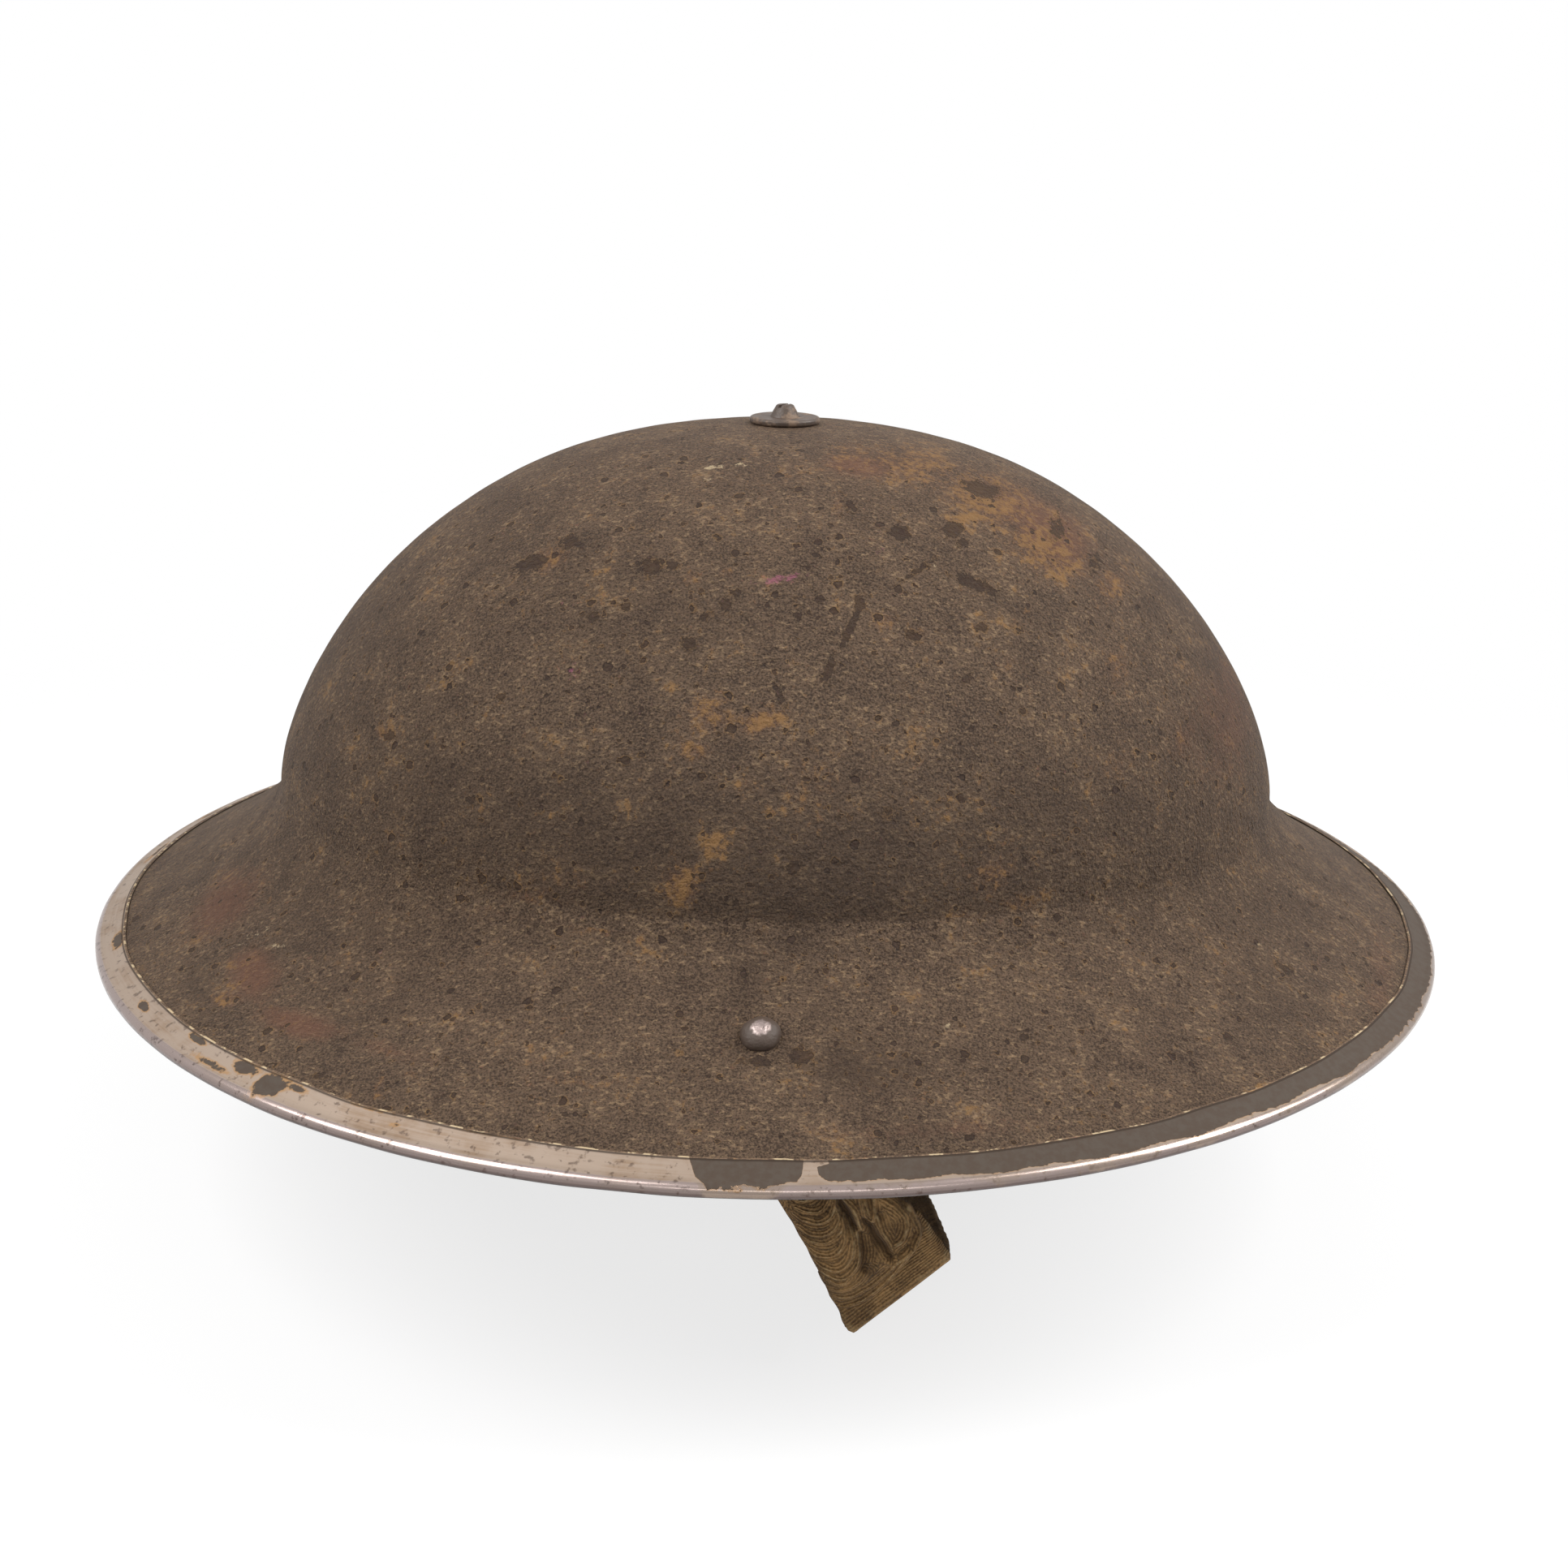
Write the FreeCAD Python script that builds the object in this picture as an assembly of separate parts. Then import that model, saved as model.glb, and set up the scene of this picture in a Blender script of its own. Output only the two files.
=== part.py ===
import FreeCAD, Part
import math
import os

from FreeCAD import Placement, Rotation, Vector

# Steel helmet of the 1939 pattern: a pressed bowl with a wide brim, a folded rim band,
# a fibre liner hung from one crown screw, and a sprung webbing chin strap.
# Millimetres. +X is towards the front, +Y towards the wearer's left, +Z up.
# The origin is the middle of the sweatband's lower edge, where the head goes in.

# Bowl
RIM_Z = -12.0              # plane of the brim's raw edge, below the sweatband's lower edge
RIM_HALF_LENGTH = 151.0    # raw sheet edge, without the rim band
RIM_HALF_WIDTH = 142.5
FOOT_HEIGHT = 31.0         # where the dome turns into the brim, above the rim plane
FOOT_HALF_LENGTH = 113.0
FOOT_HALF_WIDTH = 94.0
KNEE_HEIGHT = 20.0         # control height of the brim's sweep, sets how tight the turn is
CROWN_HEIGHT = 110.0       # top of the bowl above the rim plane
RIM_X = -1.5               # the rim's centre is a little behind the dome's
CROWN_X = 0.5
DOME_RISE_POWER = 1.49
DOME_ROUND_POWER = 2.35
SHELL_WALL = 1.0

# Rim band
BAND_LEG = 8.0             # width of each leg on the brim
BAND_SHEET = 0.6
BAND_LEG_FLAT = 0.9        # share of a leg's width that shows in plan
BAND_SEARCH_STEP = 0.005   # step of the search for a leg's inner edge
BAND_NOSE = 1.5            # radius of the rounded edge
BAND_SEAT = 0.15           # between the band and the brim's sheet
BAND_NOSE_ANGLES = (65.0, 35.0, 0.0, -35.0, -65.0)
BAND_JOINT_ANGLE = 155.0   # where the two ends of the band meet, from +X
BAND_JOINT_GAP = 0.4

# Crown fastening
SCREW_SHANK = 4.0          # diameter
SCREW_HEAD_BASE = 6.6
SCREW_HEAD_TOP = 3.6
SCREW_HEAD_HEIGHT = 2.6
SCREW_HEAD_ROUND = 0.7
SCREW_SLOT_WIDTH = 0.8
SCREW_SLOT_DEPTH = 0.6
SCREW_TAIL = 2.0           # shank below the nut
SCREW_TURN = 55.0          # where its slot points, from +X
HOLE_CLEARANCE = 0.1       # on the radius, round every shank
WASHER_DIAMETER = 15.5
WASHER_THICKNESS = 1.5
WASHER_ROUND = 0.6
SPACER_DIAMETER = 12.0
SPACER_HEIGHT = 12.0
PLATE_DIAMETER = 22.0
PLATE_THICKNESS = 1.2
NUT_WIDTH = 9.0
NUT_THICKNESS = 3.5
NUT_TURN = 20.0

# Liner
BAND_BOTTOM = 4.0          # lower edge of the headband above the sweatband's lower edge
BAND_TALL = 26.0
BAND_THICK = 2.0
LINER_GAP = 11.0           # between the headband and the bowl
SWEAT_TALL = 38.0
SWEAT_THICK = 1.6
SWEAT_INSET = 1.0          # between its foot and the headband, for the rivets' tails
SWEAT_LEAN = 6.0           # how far its top edge leans in
SWEAT_LIP_GAP = 0.2        # between its lip and the headband's lower edge
SWEAT_LIP = 2.0            # how far its lower lip reaches out past the headband
CROWN_STRAP_WIDTH = 25.0
CROWN_STRAP_THICK = 1.2
CROWN_STRAP_GAP = 0.5      # between the two straps where they cross
PLATE_GAP = 0.7            # between the lower strap's arch and the flat plate
STRAP_END_Z = 12.0         # lower ends of the crown straps
PAD_ARM_WIDTH = 36.0
PAD_ARM_REACH = 46.0
PAD_THICK = 6.0
PAD_GAP = 0.3              # between the pad and the crown straps
PAD_STEP = 1.0             # how much higher the pad's cross arm arches
BUFFER_ANGLES = (38.0, 142.0, 218.0, 322.0)
BUFFER_NAMES = ("buffer_front_left", "buffer_rear_left", "buffer_rear_right", "buffer_front_right")
BUFFER_TALL = 18.0
BUFFER_WALL = 2.0
BUFFER_BOTTOM = 6.0        # lower end above the sweatband's lower edge
BUFFER_SEAT = 0.15         # between a buffer and what it bears on
SMALL_RIVET_SHANK = 2.5
SMALL_RIVET_HEAD = 5.0
SMALL_RIVET_HEIGHT = 1.0
SMALL_RIVET_TAIL = 4.0
SMALL_RIVET_TAIL_HEIGHT = 0.5
SMALL_RIVET_PLAY = 0.1     # between a rivet's tail and what it holds
SMALL_HOLE_REACH = 8.0     # how far its hole is cut, each way from its point
BUFFER_RIVET_HEAD = 3.4
BUFFER_RIVET_HEIGHT = 0.6

# Strap lugs under the brim
LUG_X = RIM_X
LUG_BRIM_SHARE = 0.6       # place along the brim's sweep, 0 at the dome and 1 at the edge
LUG_SEAT = 0.2             # between the flat lug and the curved sheet
LUG_WIDTH = 14.0
LUG_OUTBOARD = 5.5
LUG_INBOARD = 9.0
LUG_SHEET = 1.2
LUG_RIVET_SHANK = 3.0
LUG_RIVET_HEAD = 7.4
LUG_RIVET_HEIGHT = 2.6
LUG_RIVET_TAIL = 6.0
LUG_RIVET_TAIL_HEIGHT = 1.2
LUG_RIVET_SEAT = 0.1       # between its head and the curved sheet
LUG_HOLE_REACH = 8.0       # how far its hole is cut, each way from the sheet

# Bails, hooks and strap rivets
WIRE = 2.0                 # diameter of the bail's wire
BAIL_WIDTH = 22.0          # between the centres of its two arms
BAIL_DROP = 14.0           # between the centres of its two bars
BAIL_CORNER = 3.0
HINGE_CLEARANCE = 0.1      # on the radius
EYE_WALL = 1.2
HOOK_WIDTH = 11.0
HOOK_SHEET = 1.0
HOOK_DROP = 9.0            # from the bail's lower bar to the strap rivet
STRAP_RIVET_SHANK = 3.0
STRAP_RIVET_HEAD = 6.0
STRAP_RIVET_HEIGHT = 1.0
SWIVEL_GAP = 0.3           # between faces that turn past each other

# Chin strap
WEB_WIDTH = 27.0
WEB_THICK = 2.0
TAB_WIDTH = 10.0
SLEEVE_START = 8.5         # from the strap rivet to the first pleat
SLEEVE_END = 35.0          # from the strap rivet to the hem
SLEEVE_TOP_HALF = 7.0      # half width at the first pleat
SLEEVE_HEM_HALF = 13.0     # half width at the last pleat
SLEEVE_TOP_THICK = 3.1     # half thickness at the first pleat
SLEEVE_HEM_THICK = 3.9
SLEEVE_PLEATS = 8
PLEAT_DEPTH_SHARE = 0.14   # share by which a pleat's valley is drawn in
PLEAT_VALLEY_SHARE = 0.62  # thickness between the two channels, as a share of theirs
SPRING_DIAMETER = 4.2
SPRING_WIRE = 0.6
SPRING_ROOM = 0.3          # between a spring and its channel
SPRING_END_ROOM = 2.0
LEAN_RIGHT = 37.0          # how far each sleeve hangs forward of plumb, in degrees
LEAN_LEFT = 18.0
# Middle line of the plain webbing, from the right sleeve's hem to the left one's: how far it
# lies forward of, across from and above the strap rivets' middle, as shares of the sleeves'
# distance from the middle, and the turn of its width from level about its run, in degrees.
WEB_RUN = (
    (0.266, -1.005, -0.356, 43.0),
    (0.264, -0.868, -0.391, 39.0),
    (0.236, -0.598, -0.443, 27.0),
    (0.198, -0.241, -0.484, 14.0),
    (0.164, 0.174, -0.489, 7.0),
    (0.140, 0.559, -0.457, 8.0),
    (0.125, 0.849, -0.400, 14.0),
    (0.122, 0.974, -0.367, 18.0),
)
WEB_MITRE_COSINE = 0.35    # least cosine of half a bend, so that a mitre stays short

# Cutting shapes
PAST = 1.0                 # how far a cut runs past the faces it opens
BITE = 0.5                 # how far two shapes run into each other where they are joined


def bowl_section(u):
    """Half length, half width, centre x and height of the bowl's outer ring at station u.

    u runs from -1 at the brim's edge through 0 at the dome's foot to 1 at the crown. The brim
    is a quadratic curve with its knee straight below the foot, and the dome a superellipse.
    """
    if u <= 0.0:
        s = -u
        share = s * s
        half_length = FOOT_HALF_LENGTH + (RIM_HALF_LENGTH - FOOT_HALF_LENGTH) * share
        half_width = FOOT_HALF_WIDTH + (RIM_HALF_WIDTH - FOOT_HALF_WIDTH) * share
        height = FOOT_HEIGHT * (1 - s) ** 2 + 2 * KNEE_HEIGHT * s * (1 - s)
        return half_length, half_width, RIM_X * share, RIM_Z + height
    g = (1 - min(u, 1.0) ** DOME_RISE_POWER) ** (1 / DOME_ROUND_POWER)
    height = FOOT_HEIGHT + (CROWN_HEIGHT - FOOT_HEIGHT) * u
    return FOOT_HALF_LENGTH * g, FOOT_HALF_WIDTH * g, CROWN_X * u, RIM_Z + height


def bowl_ring(u, out=0.0, along=0.0):
    """The ring at u, moved out along the surface's normal and along it towards the edge."""
    step = 1e-4
    half_length, half_width, centre, height = bowl_section(u)
    before = bowl_section(max(u - step, -1.0))
    after = bowl_section(min(u + step, 1.0))
    moved = []
    lift = 0.0
    for half, first, last in ((half_length, before[0], after[0]), (half_width, before[1], after[1])):
        run = first - last
        rise = before[3] - after[3]
        size = math.hypot(run, rise)
        run /= size
        rise /= size
        moved.append(half + run * along - rise * out)
        lift += 0.5 * (rise * along + run * out)
    return moved[0], moved[1], centre, height + lift


def ellipse_wire(half_length, half_width, centre, height):
    """A closed ellipse that starts and ends at its front, whichever of its axes is the longer."""
    middle = Vector(centre, 0, height)
    if half_length >= half_width:
        return Part.Wire([Part.Ellipse(middle, half_length, half_width).toShape()])
    curve = Part.Ellipse(middle + Vector(0, half_width, 0), middle - Vector(half_length, 0, 0), middle)
    return Part.Wire([curve.toShape(-math.pi / 2, 3 * math.pi / 2)])


def ellipse_prism(half_length, half_width, centre, bottom, top):
    face = Part.Face(ellipse_wire(half_length, half_width, centre, bottom))
    return face.extrude(Vector(0, 0, top - bottom))


def dome_station(share):
    """Height station of the dome ring whose size is this share of the foot's."""
    return (1 - share ** DOME_ROUND_POWER) ** (1 / DOME_RISE_POWER)


BRIM_STATIONS = (-1.0, -0.985, -0.96, -0.92, -0.86, -0.78, -0.68, -0.57, -0.46, -0.34, -0.22, -0.1)
DOME_SHARES = (1.0, 0.985, 0.95, 0.89, 0.8, 0.68, 0.54, 0.38, 0.22, 0.075)


def bowl_skin(out):
    """The bowl's surface moved out along its normal, as faces, with its edge and crown rings."""
    stations = list(BRIM_STATIONS)
    stations += [dome_station(share) for share in DOME_SHARES]
    wires = [ellipse_wire(*bowl_ring(u, out)) for u in stations]
    loft = Part.makeLoft(wires, False, False)
    return loft.Faces, wires[0], wires[-1]


def cylinder(radius, start, direction, length):
    return Part.makeCylinder(radius, length, start, direction)


def box(x0, x1, y0, y1, z0, z1):
    return Part.makeBox(x1 - x0, y1 - y0, z1 - z0, Vector(x0, y0, z0))


def fused(shapes):
    whole = shapes[0]
    for shape in shapes[1:]:
        whole = whole.fuse(shape)
    return whole.removeSplitter()


def snap_head(radius, height, start, direction):
    """A round rivet head: the cap of a ball, flat side at start."""
    ball = (radius * radius + height * height) / (2 * height)
    centre = start + direction * (height - ball)
    cap = Part.makeSphere(ball, centre)
    return cap.common(cylinder(radius + PAST, start, direction, height + PAST))


# Places worked out from the sizes above
CROWN_TOP = bowl_ring(dome_station(DOME_SHARES[-1]))[3]
CROWN_INNER = bowl_ring(dome_station(DOME_SHARES[-1]), -SHELL_WALL)[3]
STRAP_TOP = CROWN_INNER - SPACER_HEIGHT
STRAP_SPRING_Z = BAND_BOTTOM + BAND_TALL
UP = Vector(0, 0, 1)
DOWN = Vector(0, 0, -1)
FRONT = Vector(1, 0, 0)
LEFT = Vector(0, 1, 0)
CROWN = Vector(CROWN_X, 0, CROWN_TOP)
SHANK_HOLE = SCREW_SHANK / 2 + HOLE_CLEARANCE

HEADBAND_HALF_LENGTH = FOOT_HALF_LENGTH - SHELL_WALL - LINER_GAP
HEADBAND_HALF_WIDTH = FOOT_HALF_WIDTH - SHELL_WALL - LINER_GAP

LUG_RIM = bowl_section(-LUG_BRIM_SHARE)
LUG_POINT = Vector(LUG_X, -LUG_RIM[1], LUG_RIM[3])
LUG_NEAR = bowl_section(-LUG_BRIM_SHARE - 0.001)
LUG_SLOPE = math.degrees(math.atan2(LUG_RIM[3] - LUG_NEAR[3], LUG_NEAR[1] - LUG_RIM[1]))
LUG_FRAME = Placement(LUG_POINT, Rotation(Vector(1, 0, 0), LUG_SLOPE))

EYE_BORE = WIRE / 2 + HINGE_CLEARANCE
EYE_RADIUS = EYE_BORE + EYE_WALL
BARREL = LUG_FRAME.multVec(Vector(0, LUG_INBOARD, -SHELL_WALL - LUG_SEAT - EYE_RADIUS))
LOWER_BAR = BARREL + DOWN * BAIL_DROP
SWIVEL = LOWER_BAR + DOWN * HOOK_DROP
TAB_FACE = SWIVEL.y - HOOK_SHEET / 2 - SWIVEL_GAP
SLEEVE_Y = TAB_FACE - WEB_THICK / 2


def make_shell():
    """The bowl: two skins a wall apart, closed at the raw edge and at the crown."""
    outer, outer_edge, outer_crown = bowl_skin(0.0)
    inner, inner_edge, inner_crown = bowl_skin(-SHELL_WALL)
    edge = Part.makeLoft([outer_edge, inner_edge], False, True)
    faces = outer + inner + edge.Faces + [Part.Face(outer_crown), Part.Face(inner_crown)]
    sewn = Part.makeCompound(faces)
    sewn.sewShape()
    shell = Part.Solid(sewn.Shells[0])
    if shell.Volume < 0:
        shell.reverse()
    shell = shell.cut(cylinder(SHANK_HOLE, CROWN + UP * PAST, DOWN, SHELL_WALL + 2 * PAST))
    hole_radius = LUG_RIVET_SHANK / 2 + HOLE_CLEARANCE
    hole = cylinder(hole_radius, DOWN * LUG_HOLE_REACH, UP, 2 * LUG_HOLE_REACH)
    hole.Placement = LUG_FRAME
    return shell.cut([hole, mirrored(hole)])


def mirrored(shape):
    """The same piece on the other side of the helmet."""
    return shape.mirror(Vector(0, 0, 0), Vector(0, 1, 0))


def make_rim_band():
    """A strip folded over the brim's edge: two legs and a round nose, open at one joint."""
    leg_end = -1.0
    while bowl_section(-1.0)[0] - bowl_section(leg_end)[0] < BAND_LEG * BAND_LEG_FLAT:
        leg_end += BAND_SEARCH_STEP
    leg_middle = (leg_end - 1.0) / 2
    top = BAND_SHEET
    under = -SHELL_WALL - BAND_SHEET
    rings = [bowl_ring(u, top) for u in (leg_end, leg_middle, -1.0)]
    for angle in BAND_NOSE_ANGLES:
        turn = math.radians(angle)
        out = -SHELL_WALL / 2 + BAND_NOSE * math.sin(turn)
        rings.append(bowl_ring(-1.0, out, BAND_NOSE * math.cos(turn)))
    rings += [bowl_ring(u, under) for u in (-1.0, leg_middle, leg_end)]
    rings += [bowl_ring(u, -SHELL_WALL - BAND_SEAT) for u in (leg_end, leg_middle, -1.0)]
    rings += [bowl_ring(u, BAND_SEAT) for u in (-1.0, leg_middle, leg_end)]
    band = Part.makeLoft([ellipse_wire(*ring) for ring in rings], True, True, True)
    slit = box(RIM_HALF_WIDTH - 3 * BAND_LEG, RIM_HALF_LENGTH + 3 * BAND_LEG,
               -BAND_JOINT_GAP / 2, BAND_JOINT_GAP / 2, RIM_Z - 3 * BAND_LEG, RIM_Z + 3 * BAND_LEG)
    slit.rotate(Vector(0, 0, 0), UP, BAND_JOINT_ANGLE)
    return band.cut(slit)


def make_crown_washer():
    washer = cylinder(WASHER_DIAMETER / 2, CROWN, UP, WASHER_THICKNESS)
    rims = [edge for edge in washer.Edges if abs(edge.Length - math.pi * WASHER_DIAMETER) < 0.01]
    washer = washer.makeFillet(WASHER_ROUND, rims)
    return washer.cut(cylinder(SHANK_HOLE, CROWN + DOWN * PAST, UP, WASHER_THICKNESS + 2 * PAST))


def make_crown_screw():
    seat = CROWN + UP * WASHER_THICKNESS
    head = Part.makeCone(SCREW_HEAD_BASE / 2, SCREW_HEAD_TOP / 2, SCREW_HEAD_HEIGHT, seat, UP)
    top_rim = [edge for edge in head.Edges if abs(edge.Length - math.pi * SCREW_HEAD_TOP) < 0.01]
    head = head.makeFillet(SCREW_HEAD_ROUND, top_rim)
    slot_bottom = seat.z + SCREW_HEAD_HEIGHT - SCREW_SLOT_DEPTH
    slot = box(CROWN_X - SCREW_HEAD_BASE, CROWN_X + SCREW_HEAD_BASE,
               -SCREW_SLOT_WIDTH / 2, SCREW_SLOT_WIDTH / 2, slot_bottom, slot_bottom + SCREW_HEAD_HEIGHT)
    slot.rotate(CROWN, UP, SCREW_TURN)
    tail = nut_bottom() - SCREW_TAIL
    shank = cylinder(SCREW_SHANK / 2, Vector(CROWN_X, 0, tail), UP, seat.z - tail + BITE)
    return fused([head.cut(slot), shank])


def plate_top():
    return STRAP_TOP - 2 * CROWN_STRAP_THICK - CROWN_STRAP_GAP - PLATE_GAP


def nut_bottom():
    return plate_top() - PLATE_THICKNESS - NUT_THICKNESS


def make_crown_spacer():
    base = Vector(CROWN_X, 0, STRAP_TOP)
    spacer = cylinder(SPACER_DIAMETER / 2, base, UP, SPACER_HEIGHT)
    return spacer.cut(cylinder(SHANK_HOLE, base + DOWN * PAST, UP, SPACER_HEIGHT + 2 * PAST))


def make_crown_plate():
    base = Vector(CROWN_X, 0, plate_top() - PLATE_THICKNESS)
    plate = cylinder(PLATE_DIAMETER / 2, base, UP, PLATE_THICKNESS)
    return plate.cut(cylinder(SHANK_HOLE, base + DOWN * PAST, UP, PLATE_THICKNESS + 2 * PAST))


def make_crown_nut():
    half = NUT_WIDTH / 2
    nut = box(CROWN_X - half, CROWN_X + half, -half, half, nut_bottom(), nut_bottom() + NUT_THICKNESS)
    nut.rotate(CROWN, UP, NUT_TURN)
    below = Vector(CROWN_X, 0, nut_bottom() - PAST)
    return nut.cut(cylinder(SCREW_SHANK / 2, below, UP, NUT_THICKNESS + 2 * PAST))


def arch_face(half_span, top, legs_to):
    """Face of an upright half ellipse on straight legs, in the XZ plane about x = 0."""
    rise = top - STRAP_SPRING_Z
    centre = Vector(0, 0, STRAP_SPRING_Z)
    major_axis = Vector(half_span, 0, STRAP_SPRING_Z)
    minor_axis = Vector(0, 0, top)
    if rise > half_span:
        major_axis, minor_axis = minor_axis, major_axis
    curve = Part.Ellipse(major_axis, minor_axis, centre)
    left = Vector(-half_span, 0, STRAP_SPRING_Z)
    right = Vector(half_span, 0, STRAP_SPRING_Z)
    upper = Vector(0, 0, top)
    arc_right = quarter(curve, right, upper)
    arc_left = quarter(curve, upper, left)
    left_foot = Vector(-half_span, 0, legs_to)
    right_foot = Vector(half_span, 0, legs_to)
    edges = [arc_right, arc_left, Part.makeLine(left, left_foot),
             Part.makeLine(left_foot, right_foot), Part.makeLine(right_foot, right)]
    return Part.Face(Part.Wire(Part.__sortEdges__(edges)))


def quarter(curve, start, end):
    a = curve.parameter(start)
    b = curve.parameter(end)
    if (b - a) % (2 * math.pi) > math.pi:
        a, b = b, a
    if b < a:
        b += 2 * math.pi
    return curve.toShape(a, b)


def arch_band(outer_half, outer_top, thick, width, crosswise):
    """A strip of this thickness and width, bent over the head, lengthwise or crosswise."""
    outer = arch_face(outer_half, outer_top, STRAP_END_Z)
    inner = arch_face(outer_half - thick, outer_top - thick, STRAP_END_Z - PAST)
    run = Vector(0, width, 0)
    start = Vector(0, -width / 2, 0)
    outer_solid = outer.extrude(run)
    inner_solid = inner.extrude(run)
    outer_solid.translate(start)
    inner_solid.translate(start)
    band = outer_solid.cut(inner_solid)
    if crosswise:
        band.rotate(Vector(0, 0, 0), UP, 90)
    band.translate(Vector(CROWN_X, 0, 0))
    return band


def crown_strap_sizes(crosswise):
    """Outer half span and outer top of a crown strap."""
    if crosswise:
        return HEADBAND_HALF_WIDTH + CROWN_STRAP_THICK, STRAP_TOP - CROWN_STRAP_THICK - CROWN_STRAP_GAP
    return HEADBAND_HALF_LENGTH + CROWN_STRAP_THICK + abs(CROWN_X), STRAP_TOP


def make_crown_strap(crosswise):
    half, top = crown_strap_sizes(crosswise)
    strap = arch_band(half, top, CROWN_STRAP_THICK, CROWN_STRAP_WIDTH, crosswise)
    strap = strap.cut(cylinder(SHANK_HOLE, Vector(CROWN_X, 0, top - SPACER_HEIGHT), UP, 2 * SPACER_HEIGHT))
    for point, outward in liner_rivet_places():
        strap = strap.cut(small_rivet_hole(point, outward))
    return strap


def small_rivet_hole(point, outward):
    """Cutting shape of a small rivet's hole, well past both faces of what it holds."""
    return cylinder(SMALL_RIVET_SHANK / 2 + HOLE_CLEARANCE, point - outward * SMALL_HOLE_REACH, outward,
                    2 * SMALL_HOLE_REACH)


def liner_rivet_places():
    """Point on the crown strap's outer face and outward direction, for each of its four ends."""
    height = (STRAP_END_Z + STRAP_SPRING_Z) / 2
    half_long = crown_strap_sizes(False)[0]
    half_cross = crown_strap_sizes(True)[0]
    return [
        (Vector(CROWN_X + half_long, 0, height), Vector(1, 0, 0)),
        (Vector(CROWN_X - half_long, 0, height), Vector(-1, 0, 0)),
        (Vector(CROWN_X, half_cross, height), Vector(0, 1, 0)),
        (Vector(CROWN_X, -half_cross, height), Vector(0, -1, 0)),
    ]


def small_rivet(point, outward, grip):
    """A rivet with its round head on the point and its flat tail a grip behind it."""
    head = snap_head(SMALL_RIVET_HEAD / 2, SMALL_RIVET_HEIGHT, point, outward)
    shank = cylinder(SMALL_RIVET_SHANK / 2, point - outward * grip, outward, grip + BITE / 2)
    tail = cylinder(SMALL_RIVET_TAIL / 2, point - outward * grip, outward * -1, SMALL_RIVET_TAIL_HEIGHT)
    return fused([head, shank, tail])


def make_liner_rivets():
    solids = []
    for point, outward in liner_rivet_places():
        inner_face = HEADBAND_HALF_WIDTH - BAND_THICK
        if outward.x != 0:
            inner_face = HEADBAND_HALF_LENGTH - BAND_THICK
        grip = point.dot(outward) - inner_face + SMALL_RIVET_PLAY
        solids.append(small_rivet(point, outward, grip))
    return Part.Compound(solids)


def make_crown_pad():
    """A cross of padding on top of the crown straps, with a hole for the spacer."""
    arms = []
    for crosswise in (False, True):
        half, top = crown_strap_sizes(crosswise)
        lift = PAD_GAP
        if crosswise:
            lift += CROWN_STRAP_THICK + CROWN_STRAP_GAP + PAD_STEP
        band = arch_band(half + lift + PAD_THICK, top + lift + PAD_THICK, PAD_THICK, PAD_ARM_WIDTH, crosswise)
        reach = box(CROWN_X - PAD_ARM_REACH, CROWN_X + PAD_ARM_REACH, -PAD_ARM_REACH, PAD_ARM_REACH,
                    STRAP_SPRING_Z, CROWN_TOP)
        arms.append(band.common(reach))
    pad = fused(arms)
    below = Vector(CROWN_X, 0, STRAP_TOP - SPACER_HEIGHT)
    return pad.cut(cylinder(SPACER_DIAMETER / 2 + PAD_GAP, below, UP, 3 * SPACER_HEIGHT))


def make_headband():
    top = BAND_BOTTOM + BAND_TALL
    ring = ellipse_prism(HEADBAND_HALF_LENGTH, HEADBAND_HALF_WIDTH, 0, BAND_BOTTOM, top)
    ring = ring.cut(ellipse_prism(HEADBAND_HALF_LENGTH - BAND_THICK, HEADBAND_HALF_WIDTH - BAND_THICK,
                                  0, BAND_BOTTOM - PAST, top + PAST))
    for point, outward in liner_rivet_places() + buffer_rivet_places():
        ring = ring.cut(small_rivet_hole(point, outward))
    return ring


def make_sweatband():
    """Oilcloth lining: a ring that leans in as it rises, with a lip under the headband."""
    outer_length = HEADBAND_HALF_LENGTH - BAND_THICK
    outer_width = HEADBAND_HALF_WIDTH - BAND_THICK
    walls = []
    for inset in (SWEAT_INSET, SWEAT_INSET + SWEAT_THICK):
        low = ellipse_wire(outer_length - inset, outer_width - inset, 0, 0)
        leant = inset + SWEAT_LEAN
        high = ellipse_wire(outer_length - leant, outer_width - leant, 0, SWEAT_TALL)
        walls.append(Part.makeLoft([low, high], True, True))
    lip_top = BAND_BOTTOM - SWEAT_LIP_GAP
    lip = ellipse_prism(HEADBAND_HALF_LENGTH + SWEAT_LIP, HEADBAND_HALF_WIDTH + SWEAT_LIP, 0, 0, lip_top)
    return fused([walls[0], lip]).cut(walls[1])


def buffer_room():
    """Half length and half width of the bowl's inside, level with the tops of the buffers."""
    rise = BUFFER_BOTTOM + BUFFER_TALL - RIM_Z - FOOT_HEIGHT
    level = bowl_section(max(rise, 0.0) / (CROWN_HEIGHT - FOOT_HEIGHT))
    return level[0] - SHELL_WALL, level[1] - SHELL_WALL


def buffer_radius():
    half_length, half_width = buffer_room()
    gap = min(half_length - HEADBAND_HALF_LENGTH, half_width - HEADBAND_HALF_WIDTH)
    return gap / 2 - BUFFER_SEAT


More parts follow.
